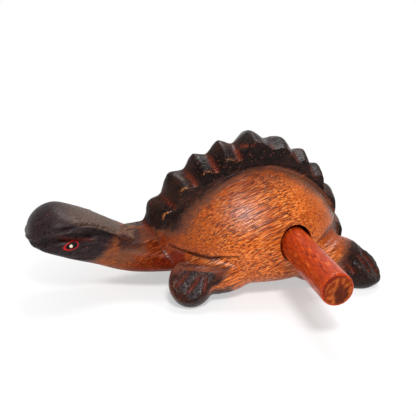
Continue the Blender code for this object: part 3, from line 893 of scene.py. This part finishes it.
# The light line down each front leg's ridge is a painted highlight, laid with the worn-edge colour.
for laid in press(LEG_RIDGE):
    near, share, _ = along(points, laid)
    ridge_highlight = 0.5 * hump(near, 0.6 * MM) * swell(0, 0.2, share) * swell(1, 0.8, share)
    wear_and_highlight = np.maximum(wear_and_highlight, ridge_highlight)
print("worn points", int((wear_and_highlight > 0.5).sum()))

# %% [markdown]
# The maker scorches the head, the comb and the feet with a flame, and the soot fades softly into the wood. The
# dark lines in the strokes' grooves are painted shade, and they join the soot here. A patch of soot is the
# product of its edges: for each, a measure and the two values between which it fades in.

# %% Scorched head and comb
def most(*marks):
    """The greatest of several marks at each point."""
    return np.maximum.reduce(marks)


def patch(*edges):
    """A soft-edged patch, from measures and the two values between which each fades in."""
    return np.prod([swell(low, high, values) for values, low, high in edges], axis=0)


STATIONS = [-50, -38, -25, -12, 8, 20, 40]
SOOT_SPREAD = [11.5, 10, 6.5, 3, 2.2, 8, 9]
SOOT_STRENGTH = [1.0, 0.9, 0.75, 0.6, 0.6, 0.6, 0.62]
upright = normals[:, 2]
from_head = (x + 90 - 0.97 * (z - 18.6)) * 0.718
soft_edge = 3 * swell(27, 36, z)
head = 0.68 * swell(4 + soft_edge, -5 - 2 * soft_edge, from_head)
head += 0.52 * patch((from_head, 20, 8), (x, -61, -72)) * (1 - 0.5 * swell(21, 15, z))
beside = np.maximum(away - COMB_HALF, 0)
on_top = patch((shell_reach, 1.16, 1.02), (x, -62, -52))
on_top *= np.where(x < -40, swell(26, 36, z), swell(24, 29, z))
leg_front = patch((x, -43, -47), (away, 16, 19), (away, 37, 33), (z, 26, 23))
scorched_and_shaded = {
    "head": head,
    "comb": np.where(on_comb, swell(1.0, 1.04, shell_reach), 0),
    "beside the comb": on_top * np.interp(x, STATIONS, SOOT_STRENGTH)
    * hump(beside, np.interp(x, STATIONS, SOOT_SPREAD)),
    "before the comb": 0.62 * patch((x, -67, -63), (x, -50, -56), (away, 13, 11), (z, 26, 29)),
    "neck": 0.80 * patch((x, -81, -76), (x, -60, -68), (z, 19, 25), (upright, 0.97, 0.85)),
    "front of the legs": 0.6 * leg_front * swell(25, 31, away),
    "rump": 0.75 * patch((x, 33, 38), (away, 22, 16), (z, 34, 28)),
    # painted shade: the dark lines that the strokes lay in their grooves
    "painted groove shade": groove_shade,
}
burn_and_shade = most(*scorched_and_shaded.values())
print("scorched points", int((burn_and_shade > 0.5).sum()))

# %% [markdown]
# The front feet are black over their pared faces, with a grey of dust and painted sheen on them that stops
# short of the rim. That outline is written on the face itself. The rear feet fade to black towards their
# toes. The bead of the lip takes the same grey as a painted highlight.

# %% Scorched feet
TOE_OUTLINE = [(-3.3, 6.0), (13.4, 5.8), (11.5, 1.4), (3.9, -9.6), (-3.7, -5.4), (-6.8, -0.5)]


def on_toe_face(side, place):
    """Each point's height off a foot's pared face, its height up the slope, and its gap to the outline."""
    face = np.array(toe_face(place).inverted())
    off, across, up = ((points @ face[row, :3] + face[row, 3]) / MM for row in range(3))
    across = -side * across
    outside = np.full(count, -np.inf)
    for (a, b), (c, d) in zip(TOE_OUTLINE, TOE_OUTLINE[1:] + TOE_OUTLINE[:1]):
        gap = ((c - a) * (up - b) - (d - b) * (across - a)) / math.hypot(c - a, d - b)
        outside = np.maximum(outside, gap)
    return off, up, outside


# the lip's bead, which takes a painted highlight
bead = np.zeros(count)
for laid in press(LIP_LINE):
    near, share, _ = along(points, laid)
    bead = most(bead, hump(near, 0.8 * MM) * swell(1, 0.7, share))
ash_and_sheen = bead
for end, side, place in FEET:
    reach = np.linalg.norm(points - np.array(place.translation), axis=1) / MM
    own_side = side * y > 0
    if end == "front":
        off, up, outside = on_toe_face(side, place)
        near_face = swell(-5.5, -3.0, off) * own_side
        black = swell(0.7, -0.5, outside) * near_face
        # dust and a painted grey sheen on the pared toe face
        ash_and_sheen = most(ash_and_sheen, black * swell(-0.2, -1.2, outside))
        rim = patch((outside, -0.6, 0.4), (outside, 4.6, 3.0)) * near_face
        bare = most(bare, rim * (0.1 + 0.35 * swell(3, 7, up)))
        border = swell(7, 2, outside) * near_face * (0.95 - 0.35 * swell(2, 7, up))
        black = most(black, border, 0.9 * patch((z, 13, 5), (reach, 24, 19)))
    else:
        black = patch((0.75 * x + 0.6 * away, 43.5, 52), (z, 29, 25))
        black = most(black, 0.7 * patch((z, 9, 3), (reach, 24, 17)))
    burn_and_shade = most(burn_and_shade, black * own_side)
print("share of the skin that is burnt:", round(float((burn_and_shade > 0.5).mean()), 2))

# %% [markdown]
# Hands rub the soot thin, so that grey-brown fibres show under the neck. A pale grey painted sheen lies on the
# nape, on the lip's bead and in bands beside the comb. The oil stains the wood deeper towards the neck, on the
# front of the legs and along the comb, painted shade darkens the hollow under the rear rim, and the rear is a
# little darker overall. Where the skin cuts across the fibres, on the shell's ends, the figure is calmer.

# %% Rubbed wood, painted sheen, stains and painted shade
GRAIN_TILT = (0, math.radians(-18), math.radians(9))
STAIN_SPREAD = [18, 18, 18, 15, 10, 6, 6]
PAINTED_SHEEN_STRENGTH = [0.15, 0.2, 0.15, 0.0, 0.3, 1.0, 1.0]
grain = np.array(Euler(GRAIN_TILT).to_matrix().col[0])
calm = 0.75 * swell(0.2, 0.6, np.abs(normals @ grain))
rubbed_and_sheen_spots = {
    # painted sheen along the top of the head and the nape, on faces that look upwards
    "nape": patch((x, -112, -92), (x, -64, -70), (upright, 0.66, 0.90), (z, 24, 28)),
    "neck": 0.5 * patch((from_head, -3, 2), (from_head, 20, 10), (z, 26, 21)) * (x < -60),
    # painted highlight on the lip's bead
    "lip": 0.6 * bead,
    # painted sheen in bands on the shell beside the comb
    "beside the comb": on_top * np.interp(x, STATIONS, PAINTED_SHEEN_STRENGTH)
    * hump(beside, 7) * swell(0, 2, beside),
}
stained_and_shaded = {
    "neck": 0.88 * swell(-20, -60, x) * (1 - 0.6 * swell(-68, -84, x)),
    "beside the comb": 0.74 * on_top * hump(beside, np.interp(x, STATIONS, STAIN_SPREAD)),
    "end grain": 0.3 * calm,
    "front of the legs": leg_front,
    # darker towards the rear
    "rear": 0.16 * swell(10, 24, x),
    # painted shade in the hollow under the rear rim, over the rear legs
    "painted shade under the rear rim": 0.6 * patch((x, 20, 30), (z, 34, 30), (z, 14, 20), (away, 40, 33)),
}
rubbed_and_sheen = most(*rubbed_and_sheen_spots.values())
stain_and_shade = most(*stained_and_shaded.values())
print("stained points", int((stain_and_shade > 0.5).sum()))

# %% [markdown]
# Charred wood is brittle, so its skin is pitted. A fractal noise moves each charred point a little along its
# normal. Then every mark is stored on the mesh, where the finish can read it by its name.

# %% Chips, and the marks kept on the mesh
CHIP_SIZE = 2.6 * MM
CHIP_DEPTH = 0.20 * MM
chipped = np.where(x > -60, swell(0.7, 0.95, burn_and_shade), 0) * (z > 0.6)
for index in np.nonzero(chipped)[0]:
    rough = fractal(Vector(points[index]) / CHIP_SIZE, 1.0, 2.2, 3) - 0.25
    points[index] += normals[index] * chipped[index] * CHIP_DEPTH * rough
reshape(body_mesh, points)
MARKS = {"burn_and_shade": burn_and_shade, "bare": bare, "wear_and_highlight": wear_and_highlight, "stain_and_shade": stain_and_shade, "grit": chipped, "ash_and_sheen": ash_and_sheen,
         "rubbed_and_sheen": rubbed_and_sheen, "calm": calm}
for name, values in MARKS.items():
    mark = body_mesh.attributes.new(name, "FLOAT", "POINT")
    mark.data.foreach_set("value", values.astype(np.float32))
print("chipped points", int((chipped > 0).sum()))

# %% [markdown]
# The body's finish has layers: oiled hardwood with dark pores, soot over it, painted shade in the grooves and
# under the rear rim, wood where a gouge or a finger went through the soot, painted sheen and highlights, and
# painted eyes. Object coordinates carry the grain through the block, as in real wood. What varies is linked to
# the shader. The specular level is one number, so it is set on its own socket.

# %% Helpers for finishes
def new_finish(name):
    material = bpy.data.materials.new(name)
    material.use_nodes = True
    return material, material.node_tree, material.node_tree.nodes["Principled BSDF"]


def mix(share, a, b, way="MIX"):
    inputs = {0: share, 6: a, 7: b}
    return put(share.id_data, "ShaderNodeMix", inputs, data_type="RGBA", blend_type=way).outputs[2]


def layered(colour, palette, shares):
    """Lays colours of a palette over a colour, each by its own share."""
    for name, share in shares.items():
        colour = mix(share, colour, palette[name])
    return colour


def along_grain(tree, tilt, size, shift=(0, 0, 0)):
    """Object coordinates turned to the grain and counted in sizes of one mark."""
    return put(tree, "ShaderNodeMapping", {
        "Vector": put(tree, "ShaderNodeTexCoord").outputs["Object"],
        "Location": tuple(TURTLE + Vector(shift)), "Rotation": tilt, "Scale": size,
    }, vector_type="TEXTURE").outputs[0]


def noise(tree, tilt, size, detail, distortion=0.0):
    """Noise whose marks have the given size along and across the grain."""
    return put(tree, "ShaderNodeTexNoise", {
        "Vector": along_grain(tree, tilt, size), "Scale": 1.0, "Detail": detail, "Distortion": distortion,
    }).outputs["Fac"]


def attribute(tree, name):
    return put(tree, "ShaderNodeAttribute", attribute_name=name).outputs["Fac"]


def dress(tree, shader, colour, dull, shine, relief, strength, depth=0.25 * MM):
    """Links what varies over the surface to the shader, and sets its one specular level."""
    bump = put(tree, "ShaderNodeBump", {"Height": relief, "Strength": strength, "Distance": depth}).outputs[0]
    for socket, value in (("Base Color", colour), ("Roughness", dull), ("Normal", bump)):
        tree.links.new(value, shader.inputs[socket])
    shader.inputs["Specular IOR Level"].default_value = shine


# %% [markdown]
# The wood's figure is noise stretched along the grain, at several sizes: broad bands, fibres, threads and
# pores. Darker and lighter strands are laid over the ground colour, and stained wood, with the painted shade
# under the rear rim, is multiplied down.

# %% Wood grain
GRAIN_MARKS = {
    "figure": ((0.060, 0.010, 0.010), 3, 0.6),
    "fibre": ((0.017, 0.0009, 0.0009), 3, 0.25),
    "thread": ((0.0085, 0.00048, 0.00048), 1, 0.25),
    "pore": ((0.0034, 0.00045, 0.00045), 1, 0.4),
    "patch": ((0.020, 0.012, 0.012), 2),
    "speck": ((0.0010, 0.0010, 0.0010), 2),
}
WOOD = {
    "gold": (0.72, 0.148, 0.014, 1),
    "amber": (0.56, 0.100, 0.008, 1),
    "dark fibre": (0.19, 0.027, 0.003, 1),
    "light fibre": (0.82, 0.210, 0.030, 1),
    "dark thread": (0.18, 0.027, 0.003, 1),
    "pale thread": (0.88, 0.34, 0.090, 1),
    "pore": (0.075, 0.014, 0.004, 1),
    "stain_and_shade": (0.25, 0.105, 0.09, 1),
}


def wood_grain(tree):
    """The colour of the oiled wood, and the marks that its relief and its soot follow."""
    marks = {name: noise(tree, GRAIN_TILT, *traits) for name, traits in GRAIN_MARKS.items()}
    fibre, thread = marks["fibre"], marks["thread"]
    pores = times(ramp(marks["pore"], 0.57, 0.64), ramp(marks["patch"], 0.38, 0.56))
    marks["pores"] = pores
    lively = minus(1.0, attribute(tree, "calm"))
    colour = mix(ramp(marks["figure"], 0.36, 0.64), WOOD["gold"], WOOD["amber"])
    colour = layered(colour, WOOD, {
        "dark fibre": times(lively, ramp(fibre, 0.50, 0.66)),
        "light fibre": ramp(fibre, 0.47, 0.31, 0.0, 0.8),
        "dark thread": times(lively, ramp(thread, 0.52, 0.64, 0.0, 0.85)),
        "pale thread": times(lively, ramp(thread, 0.45, 0.34, 0.0, 0.8)),
        "pore": times(pores, 0.85),
    })
    return mix(attribute(tree, "stain_and_shade"), colour, WOOD["stain_and_shade"], "MULTIPLY"), marks


# %% [markdown]
# Soot browns the wood first and blackens it where it is thick, and the painted shade in the grooves comes in
# with it. It thins out along the fibres and in clouds. Chipped charcoal is specked and smooth charcoal is
# streaked. The toes are grey with dust and painted sheen. Last come painted sheen on the nape, the lip and
# beside the comb, and the places where the wood shows again, with the painted highlight down each leg's ridge.

# %% Soot, painted groove shade, painted sheen and worn edges
SOOT = {
    "brown": (0.130, 0.042, 0.021, 1),
    "char": (0.020, 0.009, 0.007, 1),
    "deep char": (0.006, 0.003, 0.0026, 1),
    "char speck": (0.056, 0.018, 0.011, 1),
    "smooth char": (0.034, 0.019, 0.021, 1),
    "deep smooth char": (0.011, 0.006, 0.007, 1),
    "dust_and_sheen": (0.062, 0.049, 0.053, 1),
    "rubbed_and_sheen": (0.20, 0.120, 0.080, 1),
    "fleck": (0.30, 0.065, 0.022, 1),
    "bare wood": (0.20, 0.030, 0.012, 1),
    "worn edge and highlight": (0.50, 0.17, 0.05, 1),
}


def soot_over(tree, colour, marks):
    """Soot and painted groove shade that thin out along the fibres, painted sheen and highlights, and wood
    that shows through.
    """
    cloud, thread, speck = marks["patch"], marks["thread"], marks["speck"]
    ragged = times(minus(marks["fibre"], 0.5), 0.9)
    cloudy = times(minus(cloud, 0.5), 0.6)
    darkness = plus(attribute(tree, "burn_and_shade"), plus(ragged, cloudy))
    colour = mix(ramp(darkness, 0.08, 0.55, 0.0, 0.85), colour, SOOT["brown"])
    char = mix(ramp(cloud, 0.40, 0.62), SOOT["char"], SOOT["deep char"])
    char = mix(ramp(speck, 0.54, 0.70, 0.0, 0.7), char, SOOT["char speck"])
    smooth = mix(ramp(thread, 0.40, 0.62), SOOT["smooth char"], SOOT["deep smooth char"])
    char = mix(attribute(tree, "grit"), smooth, char)
    dust_and_sheen = times(attribute(tree, "ash_and_sheen"), ramp(speck, 0.40, 0.62, 0.25, 1.0))
    char = mix(dust_and_sheen, char, SOOT["dust_and_sheen"])
    colour = mix(ramp(darkness, 0.45, 0.95), colour, char)
    return layered(colour, SOOT, {
        "rubbed_and_sheen": times(attribute(tree, "rubbed_and_sheen"), ramp(thread, 0.46, 0.60, 0.1, 0.8)),
        "fleck": times(ramp(speck, 0.66, 0.72), ramp(cloud, 0.5, 0.6, 0.0, 0.7)),
        "bare wood": times(attribute(tree, "bare"), ramp(speck, 0.40, 0.56, 0.2, 1.0)),
        "worn edge and highlight": times(attribute(tree, "wear_and_highlight"), ramp(speck, 0.44, 0.56)),
    })


# %% [markdown]
# Each eye is painted: a red oval, a black one in it and a cream dot. Three ovals in side view are enough, and
# they reach both cheeks at once, because the width of the head isn't counted.

# %% Painted eye
EYE = Vector((-101.5, 0, 29.0)) * MM
EYE_TILT = math.radians(-12.7)
PAINT = {
    "red": (0.40, 0.010, 0.010, 1),
    "black": (0.006, 0.005, 0.005, 1),
    "cream": (0.80, 0.66, 0.50, 1),
}


def side_gap(tree, tilt, size, middle):
    """The gap in side view from a middle, with 1 on an oval of the given size round it."""
    place = along_grain(tree, (0, tilt, 0), (size[0], 1.0, size[1]), middle)
    return reckon_vector("LENGTH", {0: reckon_vector("MULTIPLY", {0: place, 1: (1, 0, 1)})})


def eye_paint(tree, colour):
    pupil = EYE + Vector((0.35, 0, 0.12)) * MM
    return layered(colour, PAINT, {
        "red": ramp(side_gap(tree, EYE_TILT, (4.1 * MM, 2.1 * MM), EYE), 1.02, 0.94),
        "black": ramp(side_gap(tree, EYE_TILT, (3.1 * MM, 1.6 * MM), pupil), 1.04, 0.94),
        "cream": ramp(side_gap(tree, 0, (0.82 * MM, 0.82 * MM), EYE), 1.1, 0.85),
    })


# %% [markdown]
# Oiled wood is glossier than charred wood, and the smoked neck is nearly matt. Three materials share one tree
# and differ in shine and roughness, and each face takes the one that its marks call for.

# %% Carved wood, oiled, charred and smoked
SOOT_LINE = 0.6
SHARP_EDGE = math.radians(50)


def carved_finish(name, shine, rough, satin=0.0):
    """The whole skin's tree; satin dulls smooth charcoal, and the toes' dust and painted sheen and the lip's
    painted highlight are glossier.
    """
    material, tree, shader = new_finish(name)
    colour, marks = wood_grain(tree)
    colour = eye_paint(tree, soot_over(tree, colour, marks))
    grit, ash_and_sheen = attribute(tree, "grit"), attribute(tree, "ash_and_sheen")
    dull = times(minus(1.0, reckon("MAXIMUM", grit, ash_and_sheen)), satin)
    dull = plus(dull, ramp(marks["fibre"], 0.3, 0.7, rough, rough + 0.12))
    dull = minus(dull, times(ash_and_sheen, 0.08))
    relief = plus(marks["fibre"], times(marks["thread"], 0.6))
    relief = minus(relief, times(marks["pores"], 0.5))
    relief = plus(relief, times(marks["speck"], grit))
    dress(tree, shader, colour, dull, shine, relief, 0.6)
    return material


on_neck = (shell_reach > 1.02) & (x < -49) & (away < 27)
on_neck &= (burn_and_shade < SOOT_LINE) | ((x > -82) & ~on_comb)
body_mesh.materials.clear()
body_mesh.materials.append(carved_finish("carved_wood", 0.30, 0.25))
body_mesh.materials.append(carved_finish("charred_wood", 0.12, 0.20, satin=0.15))
body_mesh.materials.append(carved_finish("smoked_wood", 0.04, 0.26))
for polygon in body_mesh.polygons:
    polygon.use_smooth = True
    corners = list(polygon.vertices)
    smoked = on_neck[corners].mean() > 0.5
    polygon.material_index = 2 if smoked else int(burn_and_shade[corners].mean() > SOOT_LINE)
body_mesh.set_sharp_from_angle(angle=SHARP_EDGE)
body_mesh.transform(Matrix.Translation(TURTLE))
turtle = new_object("turtle_body", body_mesh)
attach(turtle, "turtle")
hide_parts("carved_body")
print("the body has", sum(len(p.vertices) - 2 for p in body_mesh.polygons), "triangles")

# %% [markdown]
# The stick is a plain turned dowel. Rings of corners along its length are bridged with faces, and each end is
# closed with a fan that takes a second material, since the sawn ends show end grain.

# %% Stick
STICK_RADIUS = (stick_high.x - stick_low.x) / 2
STICK_CENTRE = Vector(((stick_low.x + stick_high.x) / 2, 0, (stick_low.z + stick_high.z) / 2))
STICK_EDGE = 1.0 * MM
EDGE_STEPS = 5


def stick_mesh(turns=96, rows=60):
    profile = []
    for step in range(EDGE_STEPS + 1):
        turn = math.pi / 2 * step / EDGE_STEPS
        radius = STICK_RADIUS - STICK_EDGE * (1 - math.sin(turn))
        profile.append((radius, STICK_EDGE * (1 - math.cos(turn))))
    length = stick_high.y - stick_low.y
    side = [(STICK_RADIUS, blend(STICK_EDGE, length - STICK_EDGE, row / rows)) for row in range(1, rows)]
    whole = profile + side + [(radius, length - run) for radius, run in reversed(profile)]
    bm = bmesh.new()
    rings = []
    for radius, run in whole:
        ring = []
        for turn in range(turns):
            angle = 2 * math.pi * turn / turns
            place = Vector((radius * math.cos(angle), 0, radius * math.sin(angle)))
            ring.append(bm.verts.new(STICK_CENTRE + place + Vector((0, stick_low.y + run, 0))))
        rings.append(ring)
    bridge(bm, rings)
    for ring in (rings[0], rings[-1]):
        middle = bm.verts.new(sum((v.co for v in ring), Vector()) / turns)
        for index in range(turns):
            face = bm.faces.new((ring[index], ring[(index + 1) % turns], middle))
            face.material_index = 1
    for face in bm.faces:
        face.smooth = True
    return mesh_from(bm, "stick")


stick_shape = stick_mesh()
print("the stick has", len(stick_shape.polygons), "faces")

# %% [markdown]
# The stick's wood is redder than the body's and less figured, with the grain along the stick, and it is
# oiled by many hands.

# %% Stick wood
STRAIGHT = (0, 0, 0)
RED_WOOD = {
    "red": (0.48, 0.052, 0.006, 1),
    "deep red": (0.41, 0.038, 0.005, 1),
    "dark fibre": (0.27, 0.024, 0.006, 1),
    "light fibre": (0.70, 0.135, 0.028, 1),
    "pore": (0.16, 0.012, 0.004, 1),
}
stick_wood, tree, shader = new_finish("stick_wood")
figure = noise(tree, STRAIGHT, (0.006, 0.05, 0.006), 2, 0.5)
fibre = noise(tree, STRAIGHT, (0.0008, 0.0075, 0.0008), 3, 0.3)
pores = ramp(noise(tree, STRAIGHT, (0.00065, 0.0055, 0.00065), 1, 0.5), 0.56, 0.64)
colour = mix(ramp(figure, 0.35, 0.65), RED_WOOD["red"], RED_WOOD["deep red"])
colour = layered(colour, RED_WOOD, {
    "dark fibre": ramp(fibre, 0.50, 0.75),
    "light fibre": ramp(fibre, 0.46, 0.30, 0.0, 0.9),
    "pore": times(pores, 0.8),
})
relief = minus(times(fibre, 0.6), times(pores, 0.5))
dress(tree, shader, colour, ramp(fibre, 0.3, 0.7, 0.22, 0.32), 0.15, relief, 0.5)
stick_shape.materials.append(stick_wood)
print("the stick's wood has", len(tree.nodes), "nodes")

# %% [markdown]
# The sawn end is blotched end grain, darker to one side of its middle, with a red border and a thin worn rim.
# These are ovals again, measured with the stick's radius as 1, and made ragged by the blotches.

# %% Sawn end
BLOTCH_TILT = (0, math.radians(35), 0)
SAWN = {
    "dark": (0.20, 0.026, 0.004, 1),
    "light": (0.42, 0.092, 0.018, 1),
    "heart": (0.075, 0.012, 0.005, 1),
    "border": (0.17, 0.012, 0.006, 1),
    "worn rim": (0.50, 0.13, 0.035, 1),
}
sawn_end, tree, shader = new_finish("sawn_end")


def end_gap(middle, size):
    """The gap from a place on the sawn end, with the stick's radius as 1."""
    shift = STICK_CENTRE - TURTLE + Vector((middle[0], 0, middle[1])) * STICK_RADIUS
    return side_gap(tree, 0, (size[0] * STICK_RADIUS, size[1] * STICK_RADIUS), shift)


blotch = noise(tree, BLOTCH_TILT, (0.0016, 0.05, 0.0036), 2, 0.5)
grit = noise(tree, STRAIGHT, (0.0006, 0.01, 0.0006), 2)
uneven = times(minus(blotch, 0.5), 0.6)
colour = mix(ramp(blotch, 0.42, 0.62), SAWN["dark"], SAWN["light"])
heart = plus(end_gap((0.22, -0.30), (0.62, 0.75)), uneven)
border = plus(end_gap((0.14, -0.14), (1.0, 1.0)), uneven)
colour = layered(colour, SAWN, {
    "heart": ramp(heart, 1.0, 0.45, 0.0, 0.9),
    "border": ramp(border, 0.86, 0.95, 0.0, 0.95),
    "worn rim": ramp(end_gap((0, 0), (1.0, 1.0)), 0.955, 0.985),
})
dress(tree, shader, colour, ramp(grit, 0.3, 0.7, 0.45, 0.6), 0.07, grit, 0.4, 0.2 * MM)
stick_shape.materials.append(sawn_end)
stick = new_object("stick", stick_shape)
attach(stick, "stick")
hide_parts("scraper_stick")
print("the stick has", len(stick_shape.materials), "materials")

# %% [markdown]
# A pale room lights the turtle softly from all sides, more from behind than from the front. The floor is
# white to the camera, but near the turtle it also takes the lamps' light, so that the soft shadow shows.

# %% Room and floor
FLOOR_HALF = 12.0
WHITE = (1, 1, 1, 1)
world = bpy.data.worlds.new("pale_room")
world.use_nodes = True
scene.world = world
tree = world.node_tree
background = tree.nodes["Background"]
background.inputs["Color"].default_value = WHITE
way = put(tree, "ShaderNodeTexCoord").outputs["Generated"]
ahead = put(tree, "ShaderNodeSeparateXYZ", {0: way}).outputs["Y"]
tree.links.new(ramp(ahead, -0.1, 0.7, 0.24, 0.58), background.inputs["Strength"])

floor_mesh = bpy.data.meshes.new("floor")
floor_mesh.from_pydata(
    [(FLOOR_HALF * across, FLOOR_HALF * deep, 0) for across, deep in ((-1, -1), (1, -1), (1, 1), (-1, 1))],
    [], [(0, 1, 2, 3)],
)
white_table, tree, shader = new_finish("white_table")
shader.inputs["Base Color"].default_value = (0.92, 0.92, 0.92, 1)
shader.inputs["Roughness"].default_value = 0.9
shader.inputs["Specular IOR Level"].default_value = 0.0
glow = put(tree, "ShaderNodeEmission", {"Color": WHITE, "Strength": 1.0})
rays = put(tree, "ShaderNodeLightPath").outputs
seen = reckon("MAXIMUM", rays["Is Camera Ray"], rays["Is Glossy Ray"])
seen = reckon("MAXIMUM", seen, rays["Is Transmission Ray"])
spot = reckon_vector("LENGTH", {0: put(tree, "ShaderNodeTexCoord").outputs["Object"]})
share = times(seen, ramp(spot, 0.05, 0.13, 0.50, 1.0))
joined = put(tree, "ShaderNodeMixShader", {0: share, 1: shader.outputs[0], 2: glow.outputs[0]})
tree.links.new(joined.outputs[0], tree.nodes["Material Output"].inputs["Surface"])
floor_mesh.materials.append(white_table)
floor = new_object("floor", floor_mesh)
print("the floor is", 2 * FLOOR_HALF, "m wide")

# %% [markdown]
# Two soft round lamps do the rest. One behind the turtle gives the bright rims on the crests and the stick,
# and one in front and above gives the sheen on the shell.

# %% Lamps
LAMP_AIM = Vector((0, 0, 0.03))


def soft_lamp(name, place, size, power):
    lamp = bpy.data.lights.new(name, "AREA")
    lamp.shape = "DISK"
    lamp.size = size
    lamp.energy = power
    obj = new_object(name, lamp)
    obj.location = place
    obj.rotation_euler = (LAMP_AIM - Vector(place)).to_track_quat("-Z", "Y").to_euler()


soft_lamp("back_softbox", (0.20, 0.46, 0.86), 0.50, 5.4)
soft_lamp("front_lamp", (-0.05, -0.66, 0.92), 0.30, 10.4)
